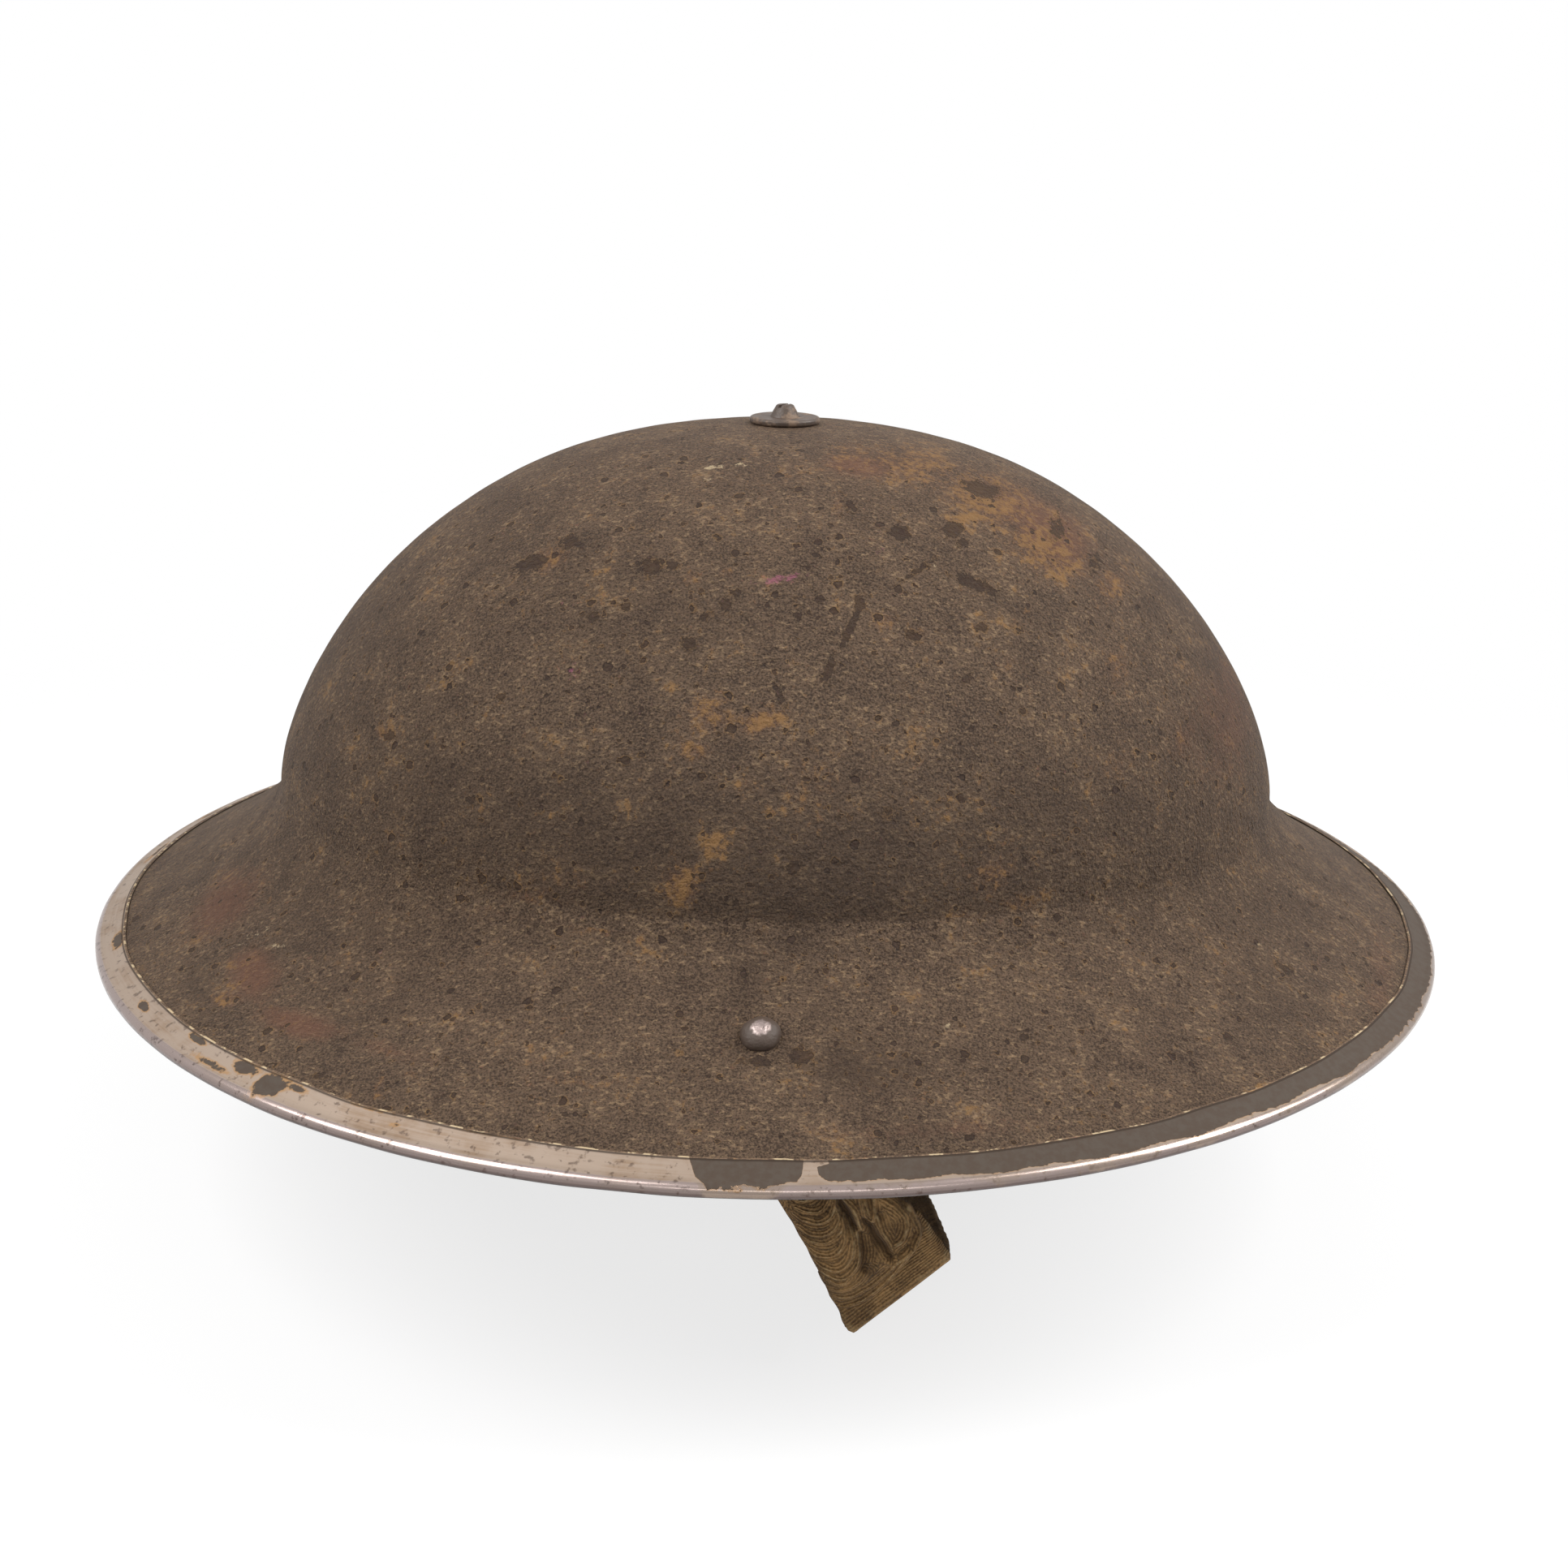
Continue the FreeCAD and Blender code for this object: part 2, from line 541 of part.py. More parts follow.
def buffer_places():
    """Lower middle and outward direction of each buffer, against the headband."""
    places = []
    reach = buffer_radius() + BUFFER_SEAT
    for angle in BUFFER_ANGLES:
        turn = math.radians(angle)
        outward = Vector(math.cos(turn) * HEADBAND_HALF_WIDTH, math.sin(turn) * HEADBAND_HALF_LENGTH, 0)
        outward.normalize()
        seat = Vector(HEADBAND_HALF_LENGTH * math.cos(turn), HEADBAND_HALF_WIDTH * math.sin(turn), 0)
        seat.z = BUFFER_BOTTOM
        places.append((seat + outward * reach, outward))
    return places


def buffer_rivet_places():
    """Point inside each buffer's near wall and the direction out to the bowl."""
    places = []
    for middle, outward in buffer_places():
        inner_wall = middle - outward * (buffer_radius() - BUFFER_WALL)
        places.append((inner_wall + UP * (BUFFER_TALL / 2), outward))
    return places


def make_buffer(middle, outward):
    """A short rubber tube on end between the headband and the bowl."""
    tube = cylinder(buffer_radius(), middle, UP, BUFFER_TALL)
    bore = cylinder(buffer_radius() - BUFFER_WALL, middle + DOWN * PAST, UP, BUFFER_TALL + 2 * PAST)
    tube = tube.cut(bore)
    hole_start = middle - outward * (buffer_radius() + PAST) + UP * (BUFFER_TALL / 2)
    return tube.cut(cylinder(SMALL_RIVET_SHANK / 2 + HOLE_CLEARANCE, hole_start, outward, buffer_radius()))


def make_buffer_rivets():
    grip = BUFFER_WALL + BUFFER_SEAT + BAND_THICK + BUFFER_RIVET_HEIGHT
    solids = []
    for point, outward in buffer_rivet_places():
        inner_end = point - outward * grip
        shank = cylinder(SMALL_RIVET_SHANK / 2, inner_end, outward, grip + BITE)
        head = cylinder(BUFFER_RIVET_HEAD / 2, point + outward * BITE, outward, BUFFER_RIVET_HEIGHT)
        tail = cylinder(SMALL_RIVET_TAIL / 2, inner_end, outward * -1, SMALL_RIVET_TAIL_HEIGHT)
        solids.append(fused([head, shank, tail]))
    return Part.Compound(solids)


def make_lug():
    """Sheet lug on the right: a plate under the brim whose inner end is rolled into a barrel."""
    top = -SHELL_WALL - LUG_SEAT
    half = LUG_WIDTH / 2
    plate = box(-half, half, -LUG_OUTBOARD, LUG_INBOARD, top - LUG_SHEET, top)
    axle = Vector(-half, LUG_INBOARD, top - EYE_RADIUS)
    lug = fused([plate, cylinder(EYE_RADIUS, axle, FRONT, LUG_WIDTH)])
    lug = lug.cut(cylinder(EYE_BORE, axle - FRONT * PAST, FRONT, LUG_WIDTH + 2 * PAST))
    hole_radius = LUG_RIVET_SHANK / 2 + HOLE_CLEARANCE
    lug = lug.cut(cylinder(hole_radius, DOWN * LUG_HOLE_REACH, UP, 2 * LUG_HOLE_REACH))
    lug.Placement = LUG_FRAME
    return lug


def make_lug_rivet():
    head = snap_head(LUG_RIVET_HEAD / 2, LUG_RIVET_HEIGHT, UP * LUG_RIVET_SEAT, UP)
    tail_top = -SHELL_WALL - LUG_SEAT - LUG_SHEET
    shank = cylinder(LUG_RIVET_SHANK / 2, Vector(0, 0, tail_top), UP, LUG_RIVET_SEAT + BITE - tail_top)
    tail = cylinder(LUG_RIVET_TAIL / 2, Vector(0, 0, tail_top), DOWN, LUG_RIVET_TAIL_HEIGHT)
    rivet = fused([head, shank, tail])
    rivet.Placement = LUG_FRAME
    return rivet


def make_lug_rivets():
    rivet = make_lug_rivet()
    return Part.Compound([rivet, mirrored(rivet)])


def make_bail():
    """A closed rectangle of round wire, hanging from the right lug's barrel."""
    half = BAIL_WIDTH / 2
    middle = BARREL.x
    y = BARREL.y
    high = BARREL.z
    low = LOWER_BAR.z
    r = BAIL_CORNER
    lean = r * (1 - math.sqrt(0.5))

    def at(x, z):
        return Vector(middle + x, y, z)

    edges = [
        Part.makeLine(at(0, high), at(half - r, high)),
        Part.Arc(at(half - r, high), at(half - lean, high - lean), at(half, high - r)).toShape(),
        Part.makeLine(at(half, high - r), at(half, low + r)),
        Part.Arc(at(half, low + r), at(half - lean, low + lean), at(half - r, low)).toShape(),
        Part.makeLine(at(half - r, low), at(0, low)),
    ]
    circle = Part.Wire([Part.Circle(at(0, high), FRONT, WIRE / 2).toShape()])
    side = Part.Wire(edges).makePipeShell([circle], True, True)
    return fused([side, side.mirror(Vector(middle, 0, 0), FRONT)])


def make_hook():
    """Sheet hook on the right: an eye round the bail's lower bar and a plate for the rivet."""
    half = HOOK_WIDTH / 2
    eye = cylinder(EYE_RADIUS, LOWER_BAR - FRONT * half, FRONT, HOOK_WIDTH)
    y0 = SWIVEL.y - HOOK_SHEET / 2
    y1 = SWIVEL.y + HOOK_SHEET / 2
    middle = SWIVEL.x
    plate = box(middle - half, middle + half, y0, y1, SWIVEL.z, LOWER_BAR.z)
    end = cylinder(half, Vector(middle, y0, SWIVEL.z), LEFT, HOOK_SHEET)
    hook = fused([eye, plate, end])
    hook = hook.cut(cylinder(EYE_BORE, LOWER_BAR - FRONT * (half + PAST), FRONT, HOOK_WIDTH + 2 * PAST))
    hole = cylinder(STRAP_RIVET_SHANK / 2, Vector(middle, y0 - PAST, SWIVEL.z), LEFT, HOOK_SHEET + 2 * PAST)
    return hook.cut(hole)


def make_strap_rivet():
    """Rivet fixed in the right hook, on which the strap's tab turns."""
    inner_face = SWIVEL.y + HOOK_SHEET / 2
    outer_face = TAB_FACE - WEB_THICK - HINGE_CLEARANCE
    outer_end = Vector(SWIVEL.x, outer_face, SWIVEL.z)
    inner_end = Vector(SWIVEL.x, inner_face, SWIVEL.z)
    length = inner_face - outer_face + BITE
    shank = cylinder(STRAP_RIVET_SHANK / 2, outer_end - LEFT * (BITE / 2), LEFT, length)
    outer = snap_head(STRAP_RIVET_HEAD / 2, STRAP_RIVET_HEIGHT, outer_end, LEFT * -1)
    inner = snap_head(STRAP_RIVET_HEAD / 2, STRAP_RIVET_HEIGHT, inner_end, LEFT)
    return fused([shank, outer, inner])


def sleeve_axes(lean):
    """Run, width and thickness directions of a sleeve that hangs this far forward of plumb."""
    turn = math.radians(lean)
    run = Vector(math.sin(turn), 0, -math.cos(turn))
    width = Vector(math.cos(turn), 0, math.sin(turn))
    return run, width, Vector(0, -1, 0)


def pleat_wire(centre, width, thick, half, depth):
    """Outline of the sleeve across its two channels: two lobes with a shallow valley between.

    Each corner and each middle of an arc is a place across and a place out, from the centre.
    """
    lobe = half / 2
    valley = depth * PLEAT_VALLEY_SHARE

    def at(across, out):
        return centre + width * across + thick * out

    key = [(0, valley), (lobe, depth), (half, 0), (lobe, -depth), (0, -valley),
           (-lobe, -depth), (-half, 0), (-lobe, depth)]
    bulge = [(0.42 * lobe, 0.9 * depth), (half - 0.3 * lobe, 0.72 * depth)]
    middle = [bulge[0], bulge[1], (bulge[1][0], -bulge[1][1]), (bulge[0][0], -bulge[0][1]),
              (-bulge[0][0], -bulge[0][1]), (-bulge[1][0], -bulge[1][1]), (-bulge[1][0], bulge[1][1]),
              (-bulge[0][0], bulge[0][1])]
    edges = []
    for i in range(len(key)):
        end = key[(i + 1) % len(key)]
        edges.append(Part.Arc(at(*key[i]), at(*middle[i]), at(*end)).toShape())
    return Part.Wire(edges)


def make_sleeve(lean):
    """Gathered cloth sleeve on the right: two ribbed channels below a flat tab."""
    run, width, thick = sleeve_axes(lean)
    top = Vector(SWIVEL.x, SLEEVE_Y, SWIVEL.z)
    wires = []
    steps = 2 * SLEEVE_PLEATS
    for i in range(steps + 1):
        share = i / steps
        half = SLEEVE_TOP_HALF + (SLEEVE_HEM_HALF - SLEEVE_TOP_HALF) * share
        depth = SLEEVE_TOP_THICK + (SLEEVE_HEM_THICK - SLEEVE_TOP_THICK) * share
        if i % 2 == 0:
            half *= 1 - PLEAT_DEPTH_SHARE / 2
            depth *= 1 - PLEAT_DEPTH_SHARE
        centre = top + run * (SLEEVE_START + (SLEEVE_END - SLEEVE_START) * share)
        wires.append(pleat_wire(centre, width, thick, half, depth))
    sleeve = Part.makeLoft(wires, True, True)
    for start, end in spring_lines(lean):
        room = SPRING_DIAMETER / 2 + SPRING_ROOM
        direction = end - start
        length = direction.Length
        direction.normalize()
        sleeve = sleeve.cut(cylinder(room, start, direction, length))
    tab = tab_solid(lean)
    return fused([sleeve, tab])


def tab_solid(lean):
    """Flat webbing tab with a round end, turning on the strap rivet."""
    half = TAB_WIDTH / 2
    y0 = SLEEVE_Y - WEB_THICK / 2
    middle = SWIVEL.x
    low = SWIVEL.z - SLEEVE_START - BITE
    plate = box(middle - half, middle + half, y0, y0 + WEB_THICK, low, SWIVEL.z)
    end = cylinder(half, Vector(middle, y0, SWIVEL.z), LEFT, WEB_THICK)
    tab = fused([plate, end])
    hole_radius = STRAP_RIVET_SHANK / 2 + HINGE_CLEARANCE
    tab = tab.cut(cylinder(hole_radius, Vector(middle, y0 - PAST, SWIVEL.z), LEFT, WEB_THICK + 2 * PAST))
    tab.rotate(SWIVEL, LEFT, -lean)
    return tab


def spring_lines(lean):
    """Start and end of the channel of each of the sleeve's two springs."""
    run, width, _ = sleeve_axes(lean)
    top = Vector(SWIVEL.x, SLEEVE_Y, SWIVEL.z)
    lines = []
    for side in (-0.5, 0.5):
        start = top + run * (SLEEVE_START + SPRING_END_ROOM) + width * (side * SLEEVE_TOP_HALF)
        end = top + run * (SLEEVE_END - SPRING_END_ROOM) + width * (side * SLEEVE_HEM_HALF)
        lines.append((start, end))
    return lines


def make_springs(lean):
    """The two close-wound springs of the right sleeve, as tubes."""
    solids = []
    for start, end in spring_lines(lean):
        direction = end - start
        length = direction.Length - 2 * SPRING_ROOM
        direction.normalize()
        base = start + direction * SPRING_ROOM
        coil = cylinder(SPRING_DIAMETER / 2, base, direction, length)
        bore_radius = SPRING_DIAMETER / 2 - SPRING_WIRE
        bore = cylinder(bore_radius, base - direction * PAST, direction, length + 2 * PAST)
        solids.append(coil.cut(bore))
    return Part.Compound(solids)


def web_wire(centre, width, thick, stretch=1.0):
    """Rectangle across the webbing: its full width, and its thickness times stretch."""
    across = width * (WEB_WIDTH / 2)
    out = thick * (WEB_THICK / 2 * stretch)
    corners = [centre - across - out, centre + across - out, centre + across + out, centre - across + out]
    return Part.makePolygon(corners + [corners[0]])


def hem_station(lean, side):
    run, width, thick = sleeve_axes(lean)
    centre = Vector(SWIVEL.x, side * SLEEVE_Y, SWIVEL.z) + run * SLEEVE_END
    return centre, width, thick


def make_strap_webbing():
    """Plain webbing from hem to hem, creased at the right and bent softly at the left."""
    wires = []
    right, right_width, right_thick = hem_station(LEAN_RIGHT, 1)
    left, left_width, left_thick = hem_station(LEAN_LEFT, -1)
    wires.append(web_wire(right, right_width, right_thick))
    reach = abs(SLEEVE_Y)
    middle = Vector(SWIVEL.x, 0, SWIVEL.z)
    points = [middle + Vector(x, y, z) * reach for x, y, z, turn in WEB_RUN]
    for i in range(len(points)):
        turn = math.radians(WEB_RUN[i][3])
        width = Vector(math.cos(turn), 0, math.sin(turn))
        before = points[i - 1] if i > 0 else right
        after = points[i + 1] if i + 1 < len(points) else left
        arriving = (points[i] - before).normalize()
        leaving = (after - points[i]).normalize()
        mean = (arriving + leaving).normalize()
        thick = mean.cross(width).normalize()
        half_turn = max(WEB_MITRE_COSINE, math.sqrt((1 + arriving.dot(leaving)) / 2))
        wires.append(web_wire(points[i], width, thick, 1 / half_turn))
    wires.append(web_wire(left, left_width, left_thick * -1))
    return Part.makeLoft(wires, True, True)


def save(shape, name):
    if not shape.isValid() or not shape.Solids:
        raise ValueError(name + " is not a valid solid")
    shape.exportStep(os.path.join("parts", name + ".step"))
    print(name, len(shape.Solids), "solid", round(shape.Volume, 1), "mm3")


def main():
    os.makedirs("parts", exist_ok=True)
    save(make_shell(), "shell")
    save(make_rim_band(), "rim_band")
    save(make_crown_washer(), "crown_washer")
    save(make_crown_screw(), "crown_screw")
    save(make_crown_spacer(), "crown_spacer")
    save(make_crown_plate(), "crown_plate")
    save(make_crown_nut(), "crown_nut")
    save(make_crown_strap(False), "crown_strap_long")
    save(make_crown_strap(True), "crown_strap_cross")
    save(make_crown_pad(), "crown_pad")
    save(make_headband(), "headband")
    save(make_sweatband(), "sweatband")
    save(make_liner_rivets(), "liner_rivets")
    for name, place in zip(BUFFER_NAMES, buffer_places()):
        save(make_buffer(*place), name)
    save(make_buffer_rivets(), "buffer_rivets")
    save(make_lug_rivets(), "lug_rivets")
    pieces = {"lug": make_lug(), "bail": make_bail(), "hook": make_hook(), "strap_rivet": make_strap_rivet()}
    for name, piece in pieces.items():
        save(piece, name + "_right")
        save(mirrored(piece), name + "_left")
    save(make_sleeve(LEAN_RIGHT), "sleeve_right")
    save(mirrored(make_sleeve(LEAN_LEFT)), "sleeve_left")
    save(make_springs(LEAN_RIGHT), "springs_right")
    save(mirrored(make_springs(LEAN_LEFT)), "springs_left")
    save(make_strap_webbing(), "strap_webbing")


main()
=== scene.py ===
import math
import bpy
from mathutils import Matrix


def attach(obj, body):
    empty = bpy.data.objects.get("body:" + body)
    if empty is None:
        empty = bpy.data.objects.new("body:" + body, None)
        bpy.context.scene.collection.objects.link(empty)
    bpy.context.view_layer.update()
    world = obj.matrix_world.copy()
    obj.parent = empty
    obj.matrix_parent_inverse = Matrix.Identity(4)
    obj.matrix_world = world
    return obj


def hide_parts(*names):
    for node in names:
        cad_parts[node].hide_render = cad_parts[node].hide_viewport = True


bl_info = {
    "name": "Steel helmet",
    "version": (1, 0, 0),
    "blender": (4, 5, 0),
    "location": "View3D > Sidebar > Helmet",
    "description": "Dresses the packed helmet: painted bowl, folded rim band, liner and chin strap",
    "category": "Add Mesh",
}

from functools import partial

import bmesh
import bpy
import numpy as np
from bpy.props import FloatProperty, FloatVectorProperty, IntProperty, PointerProperty
from bpy.types import Operator, Panel, PropertyGroup
from mathutils import Matrix, Vector

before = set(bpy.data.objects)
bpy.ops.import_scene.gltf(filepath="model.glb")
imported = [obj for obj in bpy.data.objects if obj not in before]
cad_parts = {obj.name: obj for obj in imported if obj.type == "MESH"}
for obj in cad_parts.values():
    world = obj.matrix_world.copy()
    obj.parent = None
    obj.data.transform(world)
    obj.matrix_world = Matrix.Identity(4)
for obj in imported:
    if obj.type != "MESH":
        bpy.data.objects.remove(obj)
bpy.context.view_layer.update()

MM = 0.001
WELD = 1e-6                    # metres, below which two points of a closed surface are one

# The bowl's main sizes in millimetres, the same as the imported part's.
RIM_Z = -12.0
RIM_HALF_LENGTH = 151.0
RIM_HALF_WIDTH = 142.5
RIM_X = -1.5
FOOT_HEIGHT = 31.0
FOOT_HALF_LENGTH = 113.0
FOOT_HALF_WIDTH = 94.0
KNEE_HEIGHT = 20.0
CROWN_HEIGHT = 110.0
CROWN_X = 0.5
DOME_RISE_POWER = 1.49
DOME_ROUND_POWER = 2.35
WALL = 1.0
EDGE_TUCK = 1.0                # how much narrower the worn brim is than drawn, at its sides
EDGE_SPREAD = 0.5              # and how much longer, at front and back
EDGE_TUCK_REACH = 16.0         # over this far from the edge
POLE_SHARE = 0.004
NEAR_SIDE = -math.pi / 2       # the side that the camera sees, as an angle from the front

# The right strap rivet, and stations of the webbing in millimetres: forward of the rivet, left of
# the helmet's middle, up from the rivet, and the turn of its width in degrees.
SWIVEL = np.array([-1.5, -101.9007, -19.0727])
SLEEVE_Y = -103.7007
WEB_RUN = (
    (27.6, -104.2, -36.9, 43.0),
    (27.4, -90.0, -40.5, 39.0),
    (24.5, -62.0, -45.9, 27.0),
    (20.5, -25.0, -50.2, 14.0),
    (17.0, 18.0, -50.7, 7.0),
    (14.5, 58.0, -47.4, 8.0),
    (13.0, 88.0, -41.5, 14.0),
    (12.7, 101.0, -38.1, 18.0),
)


def linear(text):
    """An sRGB hex colour as linear red, green, blue and alpha."""
    parts = [int(text[i:i + 2], 16) / 255 for i in (1, 3, 5)]
    return [p / 12.92 if p <= 0.04045 else ((p + 0.055) / 1.055) ** 2.4 for p in parts] + [1.0]


def colour(name, description, text):
    """A colour that a user can set, with this sRGB hex colour as its default."""
    return FloatVectorProperty(name=name, description=description, subtype="COLOR", size=4, min=0.0,
                               max=1.0, default=linear(text))


class HelmetSizes(PropertyGroup):
    grit: FloatProperty(name="Grit", description="Width of a grain of sand under the paint",
                        default=1.1 * MM, unit="LENGTH")
    unevenness: FloatProperty(name="Unevenness", description="How far the pressed sheet wanders",
                              default=0.16 * MM, unit="LENGTH")
    band_wave: FloatProperty(name="Band wave", description="How far the band's inner edge wanders",
                             default=0.25 * MM, unit="LENGTH")
    pleat_height: FloatProperty(name="Pleat height", description="How far a pleat stands proud",
                                default=1.3 * MM, unit="LENGTH")
    web_rib: FloatProperty(name="Web rib", description="Spacing of the webbing's ribs",
                           default=0.6 * MM, unit="LENGTH")
    floor_radius: FloatProperty(name="Floor radius", description="Radius of the pale floor",
                                default=0.9, unit="LENGTH")
    around: IntProperty(name="Around", description="Columns of faces round the bowl", default=470)


class HelmetColours(PropertyGroup):
    paint: colour("Paint", "Sanded service paint, khaki brown", "#6a5645")
    paint_light: colour("Worn paint", "Paint on the tops of the grit", "#937a5e")
    # Soiled paint is also laid on as painted shade by the bowl's shade marks.
    paint_dark: colour("Soiled paint", "Paint in the hollows", "#3e3026")
    ochre: colour("Rust bloom", "Ochre rust coming through the paint", "#8f6c43")
    rust: colour("Dark rust", "Red-brown rust in pits and scars", "#3a2a23")
    red: colour("Red primer", "Reddish cast where the paint is thin", "#6f4b3b")
    pink: colour("Wax", "Old magenta wax marks", "#94596a")
    pale: colour("Chipped paint", "Pale specks and scratches", "#b9a584")
    steel: colour("Bare steel", "Worn steel of the rim band", "#988984")
    leg: colour("Rubbed strip", "Dull rubbed steel of the band's flat leg", "#8e7e70")
    band_paint: colour("Band paint", "Smooth grey-brown paint on the band", "#463d35")
    tarnish: colour("Tarnish", "Brown film on bare steel", "#7c6754")
    fitting: colour("Fitting steel", "Dull plated steel of the small fittings", "#77706a")
    fibre: colour("Fibre", "Varnished pressed fibre of the liner", "#3a2c22")
    oilcloth: colour("Oilcloth", "Black oilcloth of the sweatband", "#262321")
    pad: colour("Pad cloth", "Grey-brown wool felt of the crown pad", "#6d6454")
    rubber: colour("Rubber", "Black rubber of the buffers", "#211f1e")
    cloth: colour("Strap cloth", "Khaki cotton webbing", "#94744c")
    # Soiled cloth also darkens the pleats' hollows and the sleeves' backs, partly as painted shade.
    cloth_dark: colour("Soiled cloth", "Webbing darkened by grease", "#44321f")
    cloth_light: colour("Worn cloth", "Rubbed threads on the ridges", "#a08a66")
    floor: colour("Floor", "Pale floor", "#f4f4f4")
    pit_rim: colour("Pit rim", "Dark outline of a rust pit", "#2b201a")
    # Painted shade on the lower round of the band's nose, where it turns down away from the light.
    nose_painted_shade: colour("Nose shade", "Grime under the band's nose", "#3d3230")
    # Painted shade in the narrow gap where the band's inner edge meets the bowl.
    seam: colour("Seam", "Dirt where the band meets the bowl", "#30241b")
    oilcloth_worn: colour("Worn oilcloth", "Oilcloth rubbed grey", "#3a342f")
    pad_worn: colour("Worn pad", "Felt darkened by wear", "#554c3f")
    fibre_worn: colour("Worn fibre", "Fibre where the varnish is thin", "#4b3a2c")
    rubber_worn: colour("Worn rubber", "Rubber with a grey bloom", "#35312e")


def sizes():
    """The sizes as they are set now."""
    return bpy.context.scene.helmet_sizes


def colours():
    """The colours as they are set now."""
    return bpy.context.scene.helmet_colours


# ---------------------------------------------------------------- meshes


def grid_faces(rows, columns, close_rows, close_columns):
    """The quads of a grid of points, as rows of four indices before they are wrapped round."""
    i, j = np.meshgrid(np.arange(rows if close_rows else rows - 1),
                       np.arange(columns if close_columns else columns - 1), indexing="ij")
    corners = np.stack([np.stack([i, j], -1), np.stack([i, j + 1], -1),
                        np.stack([i + 1, j + 1], -1), np.stack([i + 1, j], -1)], -2)
    return corners.reshape(-1, 4, 2)


def signed_volume(points, faces):
    """Six times the volume inside closed faces; it is negative where they point inwards."""
    total = 0.0
    for second, third in ((1, 2), (2, 3)):
        a, b, c = points[faces[:, 0]], points[faces[:, second]], points[faces[:, third]]
        total += float(np.einsum("ij,ij->", a, np.cross(b, c)))
    return total


def grid_parts(grid, closed):
    """Points, faces, corner UVs and values per point of one grid of points.

    Faces are quads; a triangle of a cap names its third corner twice. A closed grid whose faces
    point inwards is turned about.
    """
    p = grid["points"]
    rows, columns = p.shape[:2]
    close_rows, close_columns = grid.get("close_rows", False), grid.get("close_columns", True)
    corners = grid_faces(rows, columns, close_rows, close_columns)
    index = (corners[..., 0] % rows) * columns + corners[..., 1] % columns
    flat = p.reshape(-1, 3)
    uv = grid.get("uv", np.zeros((rows + 1, columns + 1, 2)))
    corner_uv = uv[corners[..., 0], corners[..., 1]]
    values = {key: np.broadcast_to(value, (rows, columns)).ravel()
              for key, value in grid.get("weights", {}).items()}
    if grid.get("caps", False):
        ends = np.arange(columns if close_columns else columns - 1)
        after = (ends + 1) % columns
        low = np.stack([after, ends, np.full_like(ends, rows * columns)], -1)
        high = np.stack([ends, after, np.full_like(ends, rows * columns + 1)], -1)
        high[:, :2] += (rows - 1) * columns
        fans = np.concatenate([low, high])
        index = np.concatenate([index, np.concatenate([fans, fans[:, 2:]], 1)])
        flat = np.concatenate([flat, [p[0].mean(0), p[-1].mean(0)]])
        last = rows - 1
        low_uv = np.stack([uv[0, ends + 1], uv[0, ends], uv[0, ends], uv[0, ends]], 1)
        high_uv = np.stack([uv[last, ends], uv[last, ends + 1], uv[last, ends], uv[last, ends]], 1)
        corner_uv = np.concatenate([corner_uv, low_uv, high_uv])
        values = {key: np.concatenate([value, [value[:columns].mean(), value[-columns:].mean()]])
                  for key, value in values.items()}
    if closed and signed_volume(flat - flat.mean(0), index) < 0:
        index, corner_uv = index[:, ::-1], corner_uv[:, ::-1]
        triangle = index[:, 0] == index[:, 1]
        index[triangle] = np.roll(index[triangle], -2, 1)
        corner_uv[triangle] = np.roll(corner_uv[triangle], -2, 1)
    return flat, index, corner_uv, values


def weld(mesh):
    """Joins the points of a closed mesh that lie in one place, as at poles and folded edges."""
    welded = bmesh.new()
    welded.from_mesh(mesh)
    bmesh.ops.remove_doubles(welded, verts=welded.verts, dist=WELD)
    bmesh.ops.dissolve_degenerate(welded, edges=welded.edges, dist=WELD)
    welded.to_mesh(mesh)
    welded.free()


def surface(name, grids, closed=True):
    """A mesh object from grids of points in millimetres.

    Each grid is a dict: points (rows, columns, 3), close_rows and close_columns where the last
    row or column joins the first, caps where the first and last rows are closed to a middle
    point, uv (rows + 1, columns + 1, 2) in metres where a pattern follows the surface, and
    weights, a dict of values per point.
    """
    points, faces, uvs, weights = [], [], [], {}
    for grid in grids:
        flat, index, corner_uv, values = grid_parts(grid, closed)
        faces.append(index + sum(map(len, points)))
        points.append(flat)
        uvs.append(corner_uv)
        for key, value in values.items():
            weights.setdefault(key, []).append(value)
    points, faces, uvs = np.concatenate(points) * MM, np.concatenate(faces), np.concatenate(uvs)
    triangle = faces[:, 2] == faces[:, 3]
    lists = [face[:3] if three else face for face, three in zip(faces.tolist(), triangle)]
    mesh = bpy.data.meshes.new(name)
    mesh.from_pydata(points.tolist(), [], lists)
    keep = np.ones(uvs.shape[:2], bool)
    keep[triangle, 3] = False
    layer = mesh.uv_layers.new(name="UVMap")
    layer.data.foreach_set("uv", np.ascontiguousarray(uvs[keep]).astype(np.float32).ravel())
    for key, parts in weights.items():
        values = np.concatenate(parts)
        if len(values) != len(points):
            raise ValueError(name + ": " + key + " doesn't cover every point")
        attribute = mesh.attributes.new(key, "FLOAT", "POINT")
        attribute.data.foreach_set("value", values.astype(np.float32))
    mesh.polygons.foreach_set("use_smooth", np.ones(len(mesh.polygons), bool))
    if closed:
        weld(mesh)
    mesh.update()
    if mesh.validate():
        raise ValueError(name + " has a faulty mesh")
    piece = bpy.data.objects.new(name, mesh)
    bpy.context.collection.objects.link(piece)
    return piece


def smooth_step(low, high, value):
    """0 below low, 1 above high, and a cubic between them that is level at both ends."""
    t = np.clip((value - low) / (high - low), 0.0, 1.0)
    return t * t * (3 - 2 * t)


def full_turn(count):
    """Angles all the way round, evenly spaced, without the last that meets the first."""
    return np.linspace(0, 2 * math.pi, count + 1)[:-1]


